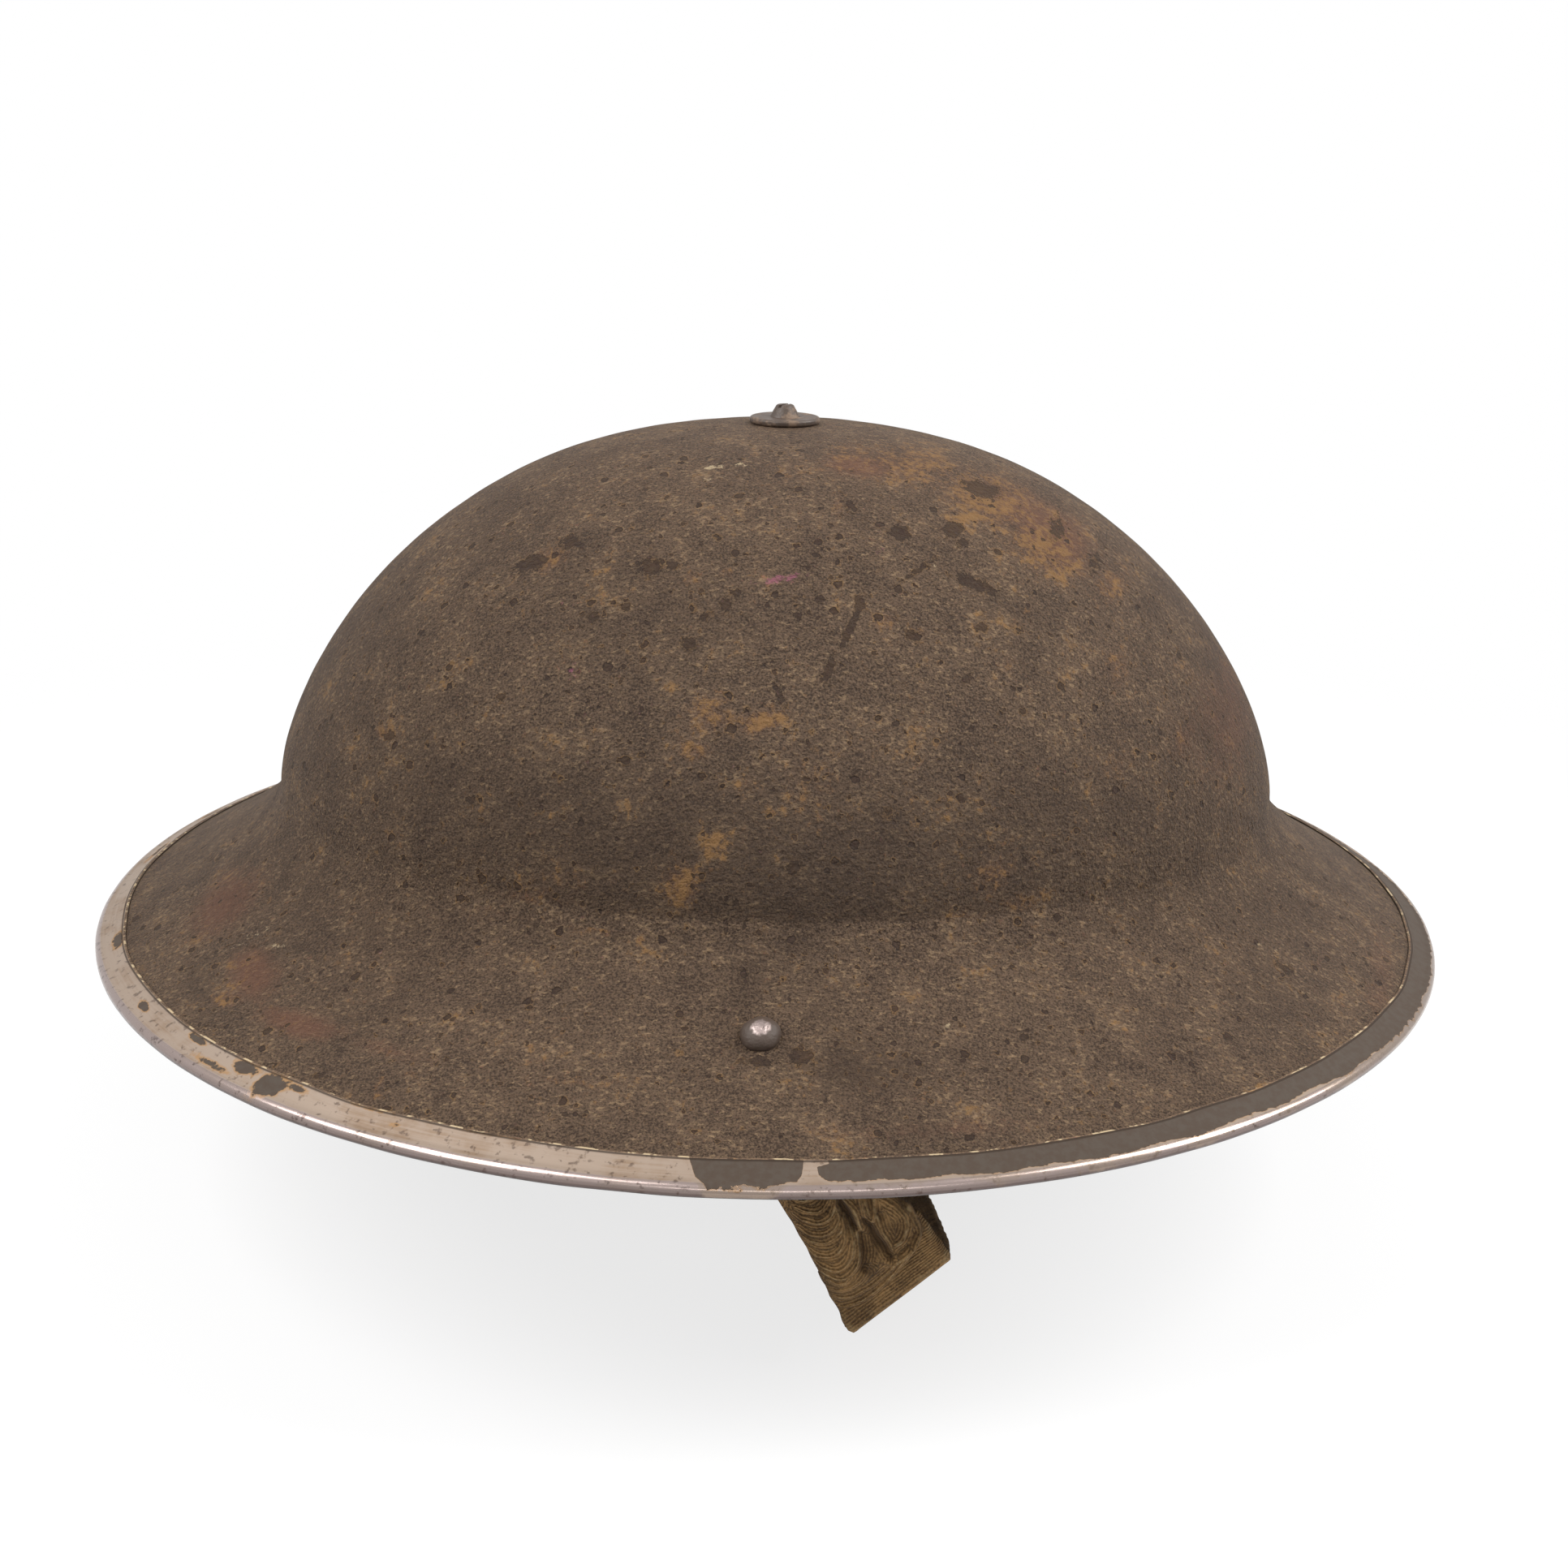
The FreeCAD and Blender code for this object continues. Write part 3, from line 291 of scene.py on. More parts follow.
def wrapped_uv(u, v):
    """UV places in metres of a grid in millimetres that closes on itself, with one more each way."""
    uv = np.stack(np.broadcast_arrays(u, v), -1)
    uv = np.concatenate([uv, uv[:, :1]], 1)
    return np.concatenate([uv, uv[-1:]]) * MM


def unit(vectors):
    """Rows of vectors, each divided by its length."""
    return vectors / np.linalg.norm(vectors, axis=1, keepdims=True)


def hump(a, b):
    """The soft hump of a mark: 1 in its middle and about a half on its ellipse, at distance 1."""
    return np.exp(-0.7 * (a * a + b * b))


def waves(x, y, z, size, seed, count=14):
    """Smooth uneven field about -1 to 1: a sum of sine waves about this long, in set directions."""
    rng = np.random.default_rng(seed)
    total = np.zeros(np.broadcast(x, y, z).shape)
    for _ in range(count):
        direction = rng.normal(size=3)
        direction *= 2 * math.pi / (size * rng.uniform(0.6, 1.6) * np.linalg.norm(direction))
        total += np.sin(direction[0] * x + direction[1] * y + direction[2] * z + rng.uniform(0, 6.3))
    return total / math.sqrt(count * 1.5)


# ---------------------------------------------------------------- the bowl's form


def bowl_curve():
    """The bowl's outline from rim to crown, as dense arrays.

    The brim is a quadratic curve and the dome a superellipse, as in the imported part. Place is
    the length along the outline from the rim in millimetres; run and rise are the outline's unit
    direction, for its long and its short half.
    """
    s = np.linspace(1, 0, 900)
    share = s * s
    length = FOOT_HALF_LENGTH + (RIM_HALF_LENGTH - FOOT_HALF_LENGTH) * share
    width = FOOT_HALF_WIDTH + (RIM_HALF_WIDTH - FOOT_HALF_WIDTH) * share
    centre = RIM_X * share
    height = FOOT_HEIGHT * (1 - s) ** 2 + 2 * KNEE_HEIGHT * s * (1 - s)
    g = np.linspace(1, POLE_SHARE, 1500)[1:]
    u = (1 - g ** DOME_ROUND_POWER) ** (1 / DOME_RISE_POWER)
    length = np.concatenate([length, FOOT_HALF_LENGTH * g])
    width = np.concatenate([width, FOOT_HALF_WIDTH * g])
    centre = np.concatenate([centre, CROWN_X * u])
    height = np.concatenate([height, FOOT_HEIGHT + (CROWN_HEIGHT - FOOT_HEIGHT) * u]) + RIM_Z
    step = np.hypot(np.diff((length + width) / 2), np.diff(height))
    place = np.concatenate([[0.0], np.cumsum(step)])
    near_edge = np.clip(1 - place / EDGE_TUCK_REACH, 0, 1) ** 2
    width = width - EDGE_TUCK * near_edge
    length = length + EDGE_SPREAD * near_edge
    curve = {"place": place, "length": length, "width": width, "centre": centre, "height": height}
    for half in ("length", "width"):
        run, rise = np.gradient(curve[half], place), np.gradient(height, place)
        size = np.hypot(run, rise)
        curve[half + "_run"], curve[half + "_rise"] = run / size, rise / size
    return curve


CURVE = bowl_curve()
TOTAL = CURVE["place"][-1]


def bowl_points(place, angle, out=0.0, beyond=0.0):
    """Points on the bowl at these places and angles, moved out along its normal.

    beyond moves them on past the rim along the brim's own slope.
    """
    got = {key: np.interp(place, CURVE["place"], value) for key, value in CURVE.items()}
    length = got["length"] + out * got["length_rise"] - beyond * got["length_run"]
    width = got["width"] + out * got["width_rise"] - beyond * got["width_run"]
    lift = -out * (got["length_run"] + got["width_run"]) / 2
    lift = lift - beyond * (got["length_rise"] + got["width_rise"]) / 2
    return np.stack(np.broadcast_arrays(got["centre"] + length * np.cos(angle), width * np.sin(angle),
                                        got["height"] + lift), -1)


def round_angles(count):
    """Angles all the way round, twice as close together on the side that the camera sees."""
    t = np.arange(count) / count
    return NEAR_SIDE + 2 * math.pi * (t - 0.36 * np.sin(2 * math.pi * t) / (2 * math.pi))


FINEST_MARK = 0.55             # millimetres, the least half size that the bowl's faces can carry

# Marks that show on the near side, seen in the photograph. Each is an ellipse: how far forward,
# how far up the outline from the rim, half length and half height in millimetres, turn in
# degrees, and strength.
NEAR_MARKS = {
    "ochre": (
        (28, 159, 12.4, 7.0, -37, 0.8), (43, 144, 11.5, 5.8, -43, 1), (55, 128, 9.2, 5.2, -47, 1),
        (69, 115, 3.5, 4.8, -57, 0.7), (15, 166, 6.9, 8.6, -6, 0.6), (0, 159, 10.6, 6.8, 21, 0.35),
        (36, 139, 3.5, 7.2, -9, 0.5), (-46, 124, 4.1, 2.2, 33, 1), (-12, 93, 4.7, 3.6, 3, 0.75),
        (-3, 92, 4.0, 2.1, 18, 1.2), (-15, 86, 2.7, 1.6, 3, 0.9), (-17, 60, 3.2, 3.4, 3, 0.9),
        (-31, 51, 5.5, 1.5, 6, 0.8), (-11, 68, 2.3, 2.3, 2, 0.5), (21, 114, 2.4, 1.9, -3, 0.7),
        (27, 111, 2.0, 1.5, -4, 0.6), (-5, 80, 1.8, 0.9, 3, 0.5), (10, 79, 1.6, 0.9, 0, 0.6),
        (68, 98, 3.4, 4.1, -12, 0.6), (83, 80, 2.1, 2.8, -16, 0.7), (49, 113, 1.4, 1.4, -8, 0.6),
        (42, 61, 4.1, 3.5, -6, 0.6), (47, 55, 4.9, 2.9, -7, 0.5), (37, 53, 4.0, 1.9, -5, 0.5),
        (-80, 79, 2.5, 1.2, 16, 0.6), (-17, 123, 1.6, 1.2, 5, 0.7), (-10, 125, 1.3, 1.1, 3, 0.7),
        (12, 146, 1.3, 3.4, -4, 0.7), (45, 102, 1.4, 1.7, -7, 0.5), (68, 79, 3.6, 4.7, -11, 0.35),
        (6, 81, 4.5, 6.3, 1, 0.3), (-40, 59, 4.8, 2.3, 8, 0.3), (-108, 14, 2.8, 1.2, 26, 0.8),
        (-71, 10, 0.3, 2.6, -7, 1.3), (-36, 19, 9.0, 0.8, 5, 0.5), (-66, 14, 1.2, 0.8, 14, 0.6),
    ),
    "dark": (
        (-50, 122, 3.4, 1.3, 32, 1.2), (-42, 129, 2.2, 1.5, 12, 1), (-25, 125, 2.4, 1.9, 7, 1.1),
        (-21, 126, 1.2, 1.2, 4, 1), (35, 136, 1.6, 1.7, -6, 1.4), (37, 132, 1.1, 1.1, -8, 1.2),
        (24, 136, 1.9, 1.8, -43, 1.2), (14, 145, 1.0, 1.3, 0, 1), (42, 147, 4.6, 1.9, -39, 1),
        (39, 121, 4.3, 1.1, -30, 1.1), (16, 118, 1.0, 1.8, 12, 1.2), (14, 112, 0.7, 3.6, -23, 1.2),
        (10, 103, 0.7, 2.4, -13, 1.2), (1, 97, 0.5, 2.0, 17, 1), (-8, 120, 1.2, 1.0, 0, 0.8),
        (28, 126, 4.9, 0.4, 39, 0.9), (-30, 115, 1.3, 0.9, 6, 1), (-17, 108, 1.2, 1.1, 3, 1.1),
        (26, 110, 1.3, 0.9, -3, 1.1), (40, 111, 1.0, 1.1, -4, 1.1), (37, 100, 1.0, 0.8, -7, 1),
        (-10, 117, 1.1, 1.1, 3, 1.1), (4, 64, 1.3, 1.4, 0, 0.9), (104, 26, 2.2, 0.3, -47, 1.2),
        (58, 132, 1.8, 2.6, -15, 0.8), (66, 121, 1.5, 2.1, -19, 0.7), (-59, 71, 0.8, 0.8, 10, 1),
        (-78, 79, 1.2, 0.9, 14, 1), (4, 115, 0.9, 1.0, 4, 1), (-36, 112, 1.0, 0.9, 7, 1),
        (-54, 92, 0.9, 0.8, 11, 0.9), (22, 74, 1.6, 1.2, -2, 0.5), (-1, 26, 3.4, 0.8, 1, 0.9),
        (6, 27, 2.6, 1.5, -27, 0.9), (8, 119, 1.3, 0.8, 0, 0.9), (-14, 114, 0.8, 0.9, 0, 1),
        (48, 92, 0.8, 0.8, -8, 0.9), (-83, 9, 0.9, 0.6, 22, 1),
    ),
    "red": (
        (-116, 29, 9.6, 3.7, 49, 0.8), (-103, 22, 5.0, 4.2, 25, 0.9), (-90, 17, 8.2, 2.2, 8, 0.9),
        (97, 80, 11.4, 10.3, -41, 0.5), (128, 10, 4.2, 6.4, -57, 0.4), (16, 160, 5.5, 3.4, -26, 0.6),
        (57, 132, 10.7, 4.1, -49, 0.6), (-72, 18, 9.8, 1.7, 1, 0.4), (-49, 52, 9.9, 3.1, 9, 0.25),
        (30, 11, 17.5, 1.6, -2, 0.35),
    ),
    "pink": (
        (1, 124, 5.4, 0.8, 12, 1), (-39, 100, 2.0, 1.3, 6, 0.7), (-41, 115, 1.7, 1.1, 9, 0.4),
        (20, 131, 1.2, 1.3, -4, 0.5), (20, 137, 0.7, 1.4, 0, 0.5), (-37, 93, 2.3, 1.3, 5, 0.25),
    ),
    "pale": (
        (-14, 159, 2.4, 1.3, 27, 1), (-15, 154, 1.8, 1.1, 38, 0.8), (-8, 161, 1.9, 1.2, 28, 0.7),
        (0, 161, 2.4, 1.3, -13, 0.4), (31, 126, 0.5, 0.8, -9, 1.2), (-106, 28, 5.3, 0.3, 45, 0.8),
        (-100, 29, 5.4, 0.2, 28, 0.7), (101, 32, 3.9, 0.3, -35, 0.5), (-47, 8, 4.2, 0.3, -19, 0.5),
        (33, 32, 1.5, 0.5, 0, 0.7), (-34, 35, 2.2, 0.5, 8, 0.5),
    ),
    # The shade ellipses are painted shade: the dome's foot, its two ends and some patches of brim and dome are
    # darkened where less light falls.
    "shade": (
        (0, 67, 100, 13, 0, 0.75), (-95, 95, 14, 50, 0, 0.45), (100, 95, 14, 50, 0, 0.6),
        (18, 24, 11.1, 4.7, -3, 0.8), (72, 52, 20.6, 5.4, 4, 0.5), (-8, 54, 34.1, 6.2, 2, 0.4),
        (99, 25, 12.5, 4.7, -39, 0.5), (-114, 14, 3.4, 5.5, 58, 0.5), (-25, 115, 21.1, 11.4, 6, 0.3),
        (-8, 61, 4.0, 7.5, 3, 0.42),
    ),
}


def near_marks(kind, points, place):
    """Strength of one kind of mark at each point: the strongest of the ellipses' soft humps."""
    total = np.zeros(place.shape)
    near = smooth_step(0.0, -20.0, points[..., 1])
    for forward, up, half_length, half_height, turn, strength in NEAR_MARKS[kind]:
        c, s = math.cos(math.radians(turn)), math.sin(math.radians(turn))
        across, along = points[..., 0] - forward, place - up
        a = (across * c + along * s) / max(half_length, FINEST_MARK)
        b = (along * c - across * s) / max(half_height, FINEST_MARK)
        total = np.maximum(total, strength * hump(a, b))
    return total * near


PIT_DEPTH = 0.14               # millimetres
RIPPLE = 0.035                 # height of the outer skin's small ripples
LUG_PLACE = 27.0               # how far up the outline the lug rivets sit


def bowl_piece():
    """The bowl as one closed surface: outer skin, raw edge and inner skin.

    Outer and inner skins are rings of the outline a wall apart, moved along the normal by slow
    waves, as hand-pressed sheet has, and by a shallow pit at each dark mark. The waves die away
    at the rim, the crown and the lug rivets, where other pieces lie on the bowl.
    """
    count = sizes().around
    angle = round_angles(count)[None, :]
    outer = np.linspace(TOTAL, 0, 178)[:, None]
    inner = np.linspace(0, TOTAL, 22)[:, None]
    place = np.concatenate([outer, inner])
    side = np.concatenate([np.zeros_like(outer), np.full_like(inner, -WALL)])
    place, side, angle = np.broadcast_arrays(place, side, angle)
    even = bowl_points(place, angle, side)
    quiet = smooth_step(9.0, 22.0, place) * smooth_step(TOTAL - 9, TOTAL - 22, place)
    quiet = quiet * smooth_step(4.0, 12.0, np.abs(place - LUG_PLACE) + np.abs(even[..., 0] - RIM_X))
    lumps = waves(even[..., 0], even[..., 1], even[..., 2], 46, 3) * sizes().unevenness / MM
    small = waves(even[..., 0], even[..., 1], even[..., 2], 9, 4) * RIPPLE
    outside = side == 0
    weights = {kind: near_marks(kind, even, place) * outside for kind in NEAR_MARKS}
    pits = PIT_DEPTH * np.clip(weights["dark"], 0, 1)
    points = bowl_points(place, angle, side + quiet * (lumps + small * outside - pits))
    return surface("bowl", [{"points": points, "caps": True, "weights": weights}])


# ---------------------------------------------------------------- rim band


BAND_LEG = 6.1                 # width of the flat leg, in millimetres like the rest
BAND_SHEET = 0.6
BAND_SEAT = 0.15               # between the strip and the brim
BAND_NOSE = 1.5                # radius of the fold
BAND_BEAD = 0.28               # how far the strip swells before the fold
BAND_JOINT = math.radians(155)
BAND_GAP = 0.4
BAND_RADIUS = 150.0            # the rim's mean radius
MARK_RADIUS = 146.0            # the radius along which the band's marks are measured
BAND_ROWS = 1250
LEG_POINTS = 13
NOSE_POINTS = 11

# Where paint is left on the band: angle from the front in degrees, and how far across the top
# leg the paint reaches, from 0 at its inner edge to 1 at the nose.
BAND_PAINT = (
    (-205, -0.6), (-190, -0.6), (-137, -0.6), (-95.2, -0.5), (-94.6, 0.1), (-94, 0.75), (-93.2, 1.06),
    (-92, 1.04), (-90.6, 1), (-89.3, 1.04), (-88.4, 0.92), (-87.4, 0.8), (-86.95, 0.5), (-86.75, -0.6),
    (-86.35, -0.6), (-86.1, 0.5), (-85.4, 0.74), (-83.5, 0.86), (-82, 0.82), (-80, 0.9), (-77, 0.8),
    (-74, 0.92), (-70, 0.86), (-66, 0.96), (-61, 0.86), (-58, 0.98), (-53, 0.8), (-50, 0.95),
    (-45, 0.82), (-42, 1), (-37, 0.88), (-32, 1), (-20, 1), (-5, 0.95), (15, 0.8), (40, 1), (65, 0.8),
    (90, 1), (115, 0.7), (140, 0.4), (152, -0.4), (155, -0.6),
)
# Scraps of paint and rust left on the bare part: angle, place across, half length in
# millimetres, half width as a share of the leg, strength.
BAND_SCRAPS = (
    (-161, 0.3, 4.5, 0.22, 1.0), (-146.5, 0.55, 2.6, 0.14, 1.2), (-137.5, 0.25, 3.4, 0.13, 1.1),
    (-134, 0.7, 6.5, 0.16, 0.8), (-131, 0.3, 4.2, 0.25, 1.0), (-127.6, 0.55, 3.6, 0.4, 1.2),
    (-125.2, 0.3, 3.2, 0.16, 0.9), (-119.5, 0.12, 5.0, 0.05, 0.8), (-116, 0.45, 2.2, 0.05, 0.6),
    (-109, 0.08, 6.0, 0.05, 0.7), (175, 0.4, 6.0, 0.2, 0.9), (163, 0.6, 5.0, 0.2, 0.9),
)


def band_piece():
    """The rim band: a strip folded over the brim's edge, carried along the rim.

    Its profile runs along the top leg, round the nose, back along the under leg, and returns
    inside. The legs' inner edges wander a little and the nose has slow dents. The two ends fold
    shut at the joint. The mark "across" is 0 to 1 on the top leg, to 1.3 round the nose, to 2.3
    on the under leg, and 3 inside.
    """
    half_gap = BAND_GAP / 2 / BAND_RADIUS
    angle = BAND_JOINT + half_gap + np.linspace(0, 1, BAND_ROWS) * (2 * math.pi - 2 * half_gap)
    angle = np.concatenate([angle[:1], angle, angle[-1:]])[:, None]
    round_rim = BAND_RADIUS * np.cos(angle), BAND_RADIUS * np.sin(angle), 0.0
    wander = waves(*round_rim, 31, 11) * sizes().band_wave / MM
    dent = waves(*round_rim, 17, 12) * 0.05
    share = np.linspace(0, 1, LEG_POINTS)
    nose = np.radians(np.linspace(78, -78, NOSE_POINTS))
    reach = (BAND_LEG + wander) * (1 - share)
    edge = np.sqrt(np.clip(share / 0.05, 0, 1))
    bead = BAND_BEAD * smooth_step(0.78, 0.95, share)
    top = BAND_SEAT + (BAND_SHEET - BAND_SEAT) * (0.45 + 0.55 * edge) + bead + dent
    fold = BAND_NOSE + dent
    rows = [
        (reach, top, 0),
        (0, -WALL / 2 + fold * np.sin(nose) * 0.92, fold * np.cos(nose)),
        (reach[:, ::-1], -WALL - BAND_SHEET, 0),
        (reach, -WALL - BAND_SEAT, 0),
        (0, -np.sin(nose) * (WALL / 2 + BAND_SEAT) - WALL / 2 + 0 * dent, 0.1),
        (reach[:, ::-1], BAND_SEAT, 0),
    ]
    rows = [np.broadcast_arrays(*row) for row in rows]
    place, out, beyond = (np.concatenate([row[k] for row in rows], 1) for k in range(3))
    points = bowl_points(place, angle, out, beyond)
    points[[0, -1]] = (points[[0, -1]] + points[[0, -1], ::-1]) / 2

    across = np.concatenate([share, 1 + 0.3 * (np.arange(NOSE_POINTS) + 1) / NOSE_POINTS, 1.3 + share,
                             np.full(2 * LEG_POINTS + NOSE_POINTS, 3.0)])[None, :]
    degrees = (np.degrees(angle) + 205) % 360 - 205
    paint = (np.interp(degrees, *np.array(BAND_PAINT).T) - across) / 0.22
    notch = (degrees + 85.9) * math.radians(MARK_RADIUS) / 2.3
    paint = paint - 4.0 * np.exp(-notch ** 4 - ((across - 0.10) / 0.17) ** 4)
    paint = np.where(across > 1.3, np.where(across < 2.9, 0.35 - 0.5 * (2.6 - across), 1.0), paint)
    scraps = np.zeros(paint.shape)
    for at, middle, half_length, half_width, strength in BAND_SCRAPS:
        along = ((degrees - at + 180) % 360 - 180) * math.radians(MARK_RADIUS) / half_length
        scraps = np.maximum(scraps, strength * hump(along, (across - middle) / half_width))
    weights = {"painted": np.clip(paint, -2, 2), "scraps": scraps, "across": across}
    uv = wrapped_uv(across * BAND_LEG, np.unwrap(angle, axis=0) * MARK_RADIUS)[..., ::-1]
    return surface("rim_band_folded", [{"points": points, "uv": uv, "weights": weights}])


# ---------------------------------------------------------------- strap


def rounded(points, times=3):
    """A line of points with its corners cut off, this many times over."""
    line = np.asarray(points, float)
    for _ in range(times):
        first = line[:-1] * 0.75 + line[1:] * 0.25
        second = line[:-1] * 0.25 + line[1:] * 0.75
        line = np.concatenate([line[:1], np.stack([first, second], 1).reshape(-1, line.shape[1]), line[-1:]])
    return line


def to_line(a, b, line):
    """Distance from points to a line, positive on its left-hand side."""
    best = np.full(a.shape, 1e9)
    side = np.ones(a.shape)
    for start, end in zip(line[:-1], line[1:]):
        run = end - start
        size = float(run @ run)
        if size < 1e-12:
            continue
        t = np.clip(((a - start[0]) * run[0] + (b - start[1]) * run[1]) / size, 0, 1)
        da, db = a - start[0] - t * run[0], b - start[1] - t * run[1]
        d = np.hypot(da, db)
        nearer = d < best
        best = np.where(nearer, d, best)
        side = np.where(nearer, np.sign(run[0] * db - run[1] * da), side)
    return best * np.where(side == 0, 1, side)


# Folds of the gathered sleeve, in millimetres across and along it from the strap rivet: how
# high, how wide on the left-hand side of the line, how wide on the right-hand side, the line.
SLEEVE_FOLDS = (
    (0.75, 1.6, 0.30, ((-3.4, 14.0), (-2.9, 16.4), (-1.1, 17.6), (1.2, 17.6), (2.8, 16.0))),
    (0.75, 1.6, 0.30, ((-4.0, 17.4), (-2.9, 19.4), (-1.1, 20.6), (1.4, 20.5), (3.2, 18.6))),
    (0.90, 1.7, 0.32, ((-5.2, 18.6), (-4.5, 20.4), (-2.9, 22.4), (0.0, 23.1), (2.7, 21.6), (3.9, 19.6))),
    (0.85, 1.5, 0.30, ((-6.4, 21.6), (-5.5, 23.6), (-3.8, 25.1), (-1.2, 25.6), (1.3, 24.4), (2.2, 22.0))),
    (0.55, 1.0, 0.30, ((-7.0, 23.7), (-5.4, 26.3), (-3.3, 27.2), (-0.4, 26.8), (1.4, 25.8))),
    (0.95, 1.7, 0.32, ((-8.0, 27.0), (-6.8, 28.8), (-5.0, 29.9), (-2.5, 29.9), (0.3, 28.1), (1.7, 24.6))),
    (0.90, 1.5, 0.32, ((-8.6, 29.1), (-7.0, 32.8), (-4.4, 33.6), (-1.4, 32.4), (1.0, 29.6), (2.0, 26.2))),
    (0.80, 1.3, 0.32, ((-9.0, 32.0), (-6.5, 35.6), (-2.9, 35.3), (0.3, 32.8), (2.4, 28.4))),
    (0.35, 0.8, 0.30, ((-8.6, 34.6), (-7.7, 36.4), (-6.0, 36.7), (-4.4, 36.0))),
    (0.30, 0.9, 0.40, ((-9.6, 36.8), (-7.0, 38.4), (-3.4, 38.0), (-1.4, 36.8))),
    (0.70, 0.7, 0.60, ((4.2, 21.0), (4.6, 23.6), (4.2, 26.2), (3.3, 28.4))),
    (0.95, 0.9, 0.45, ((8.2, 20.6), (6.8, 23.4), (5.5, 26.4), (5.6, 28.4), (7.2, 27.6), (9.6, 23.6))),
    (0.75, 0.8, 0.40, ((7.6, 21.6), (7.0, 24.4), (6.6, 26.4))),
    (1.25, 0.45, 2.2, ((9.6, 20.5), (11.0, 24.6), (12.2, 28.0), (12.7, 31.2), (12.7, 34.4), (11.8, 36.6),
                       (9.6, 38.0), (7.1, 38.5), (4.4, 38.4))),
    (0.70, 0.40, 1.0, ((9.2, 21.6), (10.6, 26.0), (11.6, 29.4), (11.9, 31.6), (10.8, 33.6), (8.6, 35.3),
                       (6.4, 35.2))),
    (0.45, 0.8, 0.5, ((7.2, 28.2), (6.3, 30.7), (6.2, 33.4), (5.6, 35.6))),
    (0.42, 0.35, 0.35, ((-10.1, 38.4), (-8.0, 40.2), (-4.1, 40.5), (-0.5, 40.2), (2.9, 39.6), (5.0, 38.2))),
    (0.42, 0.35, 0.35, ((-10.8, 41.4), (-7.8, 42.4), (-3.3, 42.3), (1.1, 41.5), (4.6, 39.9), (8.4, 38.6),
                        (12.0, 36.2))),
)
# Hollows between them: how deep, how wide, the line.
SLEEVE_HOLLOWS = (
    (1.6, 1.1, ((4.9, 17.0), (3.9, 20.6), (2.9, 23.6), (2.0, 27.2))),
    (1.3, 0.8, ((5.2, 27.4), (4.9, 29.6), (4.5, 32.9), (4.6, 36.4))),
    (0.9, 0.7, ((2.2, 29.6), (0.5, 33.0), (-1.2, 36.0))),
    (0.8, 0.8, ((9.0, 20.0), (8.2, 24.6), (7.6, 28.6))),
    (0.6, 0.6, ((6.6, 36.8), (9.4, 36.8), (11.4, 35.2))),
)
# The sleeve's two long edges, as places along and across it, and its hem, as across and along.
SLEEVE_TOP = 8.5
SLEEVE_EDGE_LEFT = ((SLEEVE_TOP, -6.1), (14.4, -6.7), (21.4, -7.7), (28.7, -8.9), (35.8, -10.3), (41.7, -11.4),
                    (46.0, -12.4))
SLEEVE_EDGE_RIGHT = ((SLEEVE_TOP, 6.6), (14.0, 8.2), (20.0, 9.9), (25.0, 11.2), (30.8, 12.9), (34.5, 13.2),
                     (37.0, 12.8), (46.0, 12.6))
SLEEVE_HEM = ((-13.0, 44.6), (-8.0, 43.4), (-3.3, 43.3), (2.9, 41.8), (9.7, 38.6), (13.0, 36.4))
# The line of each of the two springs inside, as places along and across, and the cloth's room for it.
SPRING_LINE = ((10.5, 33.0), (3.5, 6.5))
SPRING_COVER = 2.35
LEAN_RIGHT = 37.0              # degrees that each sleeve leans forward of plumb
LEAN_LEFT = 18.0
TAB_THICK = 1.9                # of the flat tab that the strap rivet holds
TAB_HALF_WIDTH = 5.0


def sleeve_axes(lean):
    """Run, width and thickness directions of the right sleeve, this far forward of plumb."""
    turn = math.radians(lean)
    return (np.array([math.sin(turn), 0, -math.cos(turn)]), np.array([math.cos(turn), 0, math.sin(turn)]),
            np.array([0.0, -1.0, 0.0]))


def sleeve_place(lean, across, down, proud):
    """Points so far across and down a sleeve from its strap rivet, and proud of its middle."""
    top = np.array([SWIVEL[0], SLEEVE_Y, SWIVEL[2]])
    places = zip(sleeve_axes(lean), (down, across, proud))
    return top + sum(axis * np.broadcast_to(value, np.broadcast(across, down).shape)[..., None]
                     for axis, value in places)


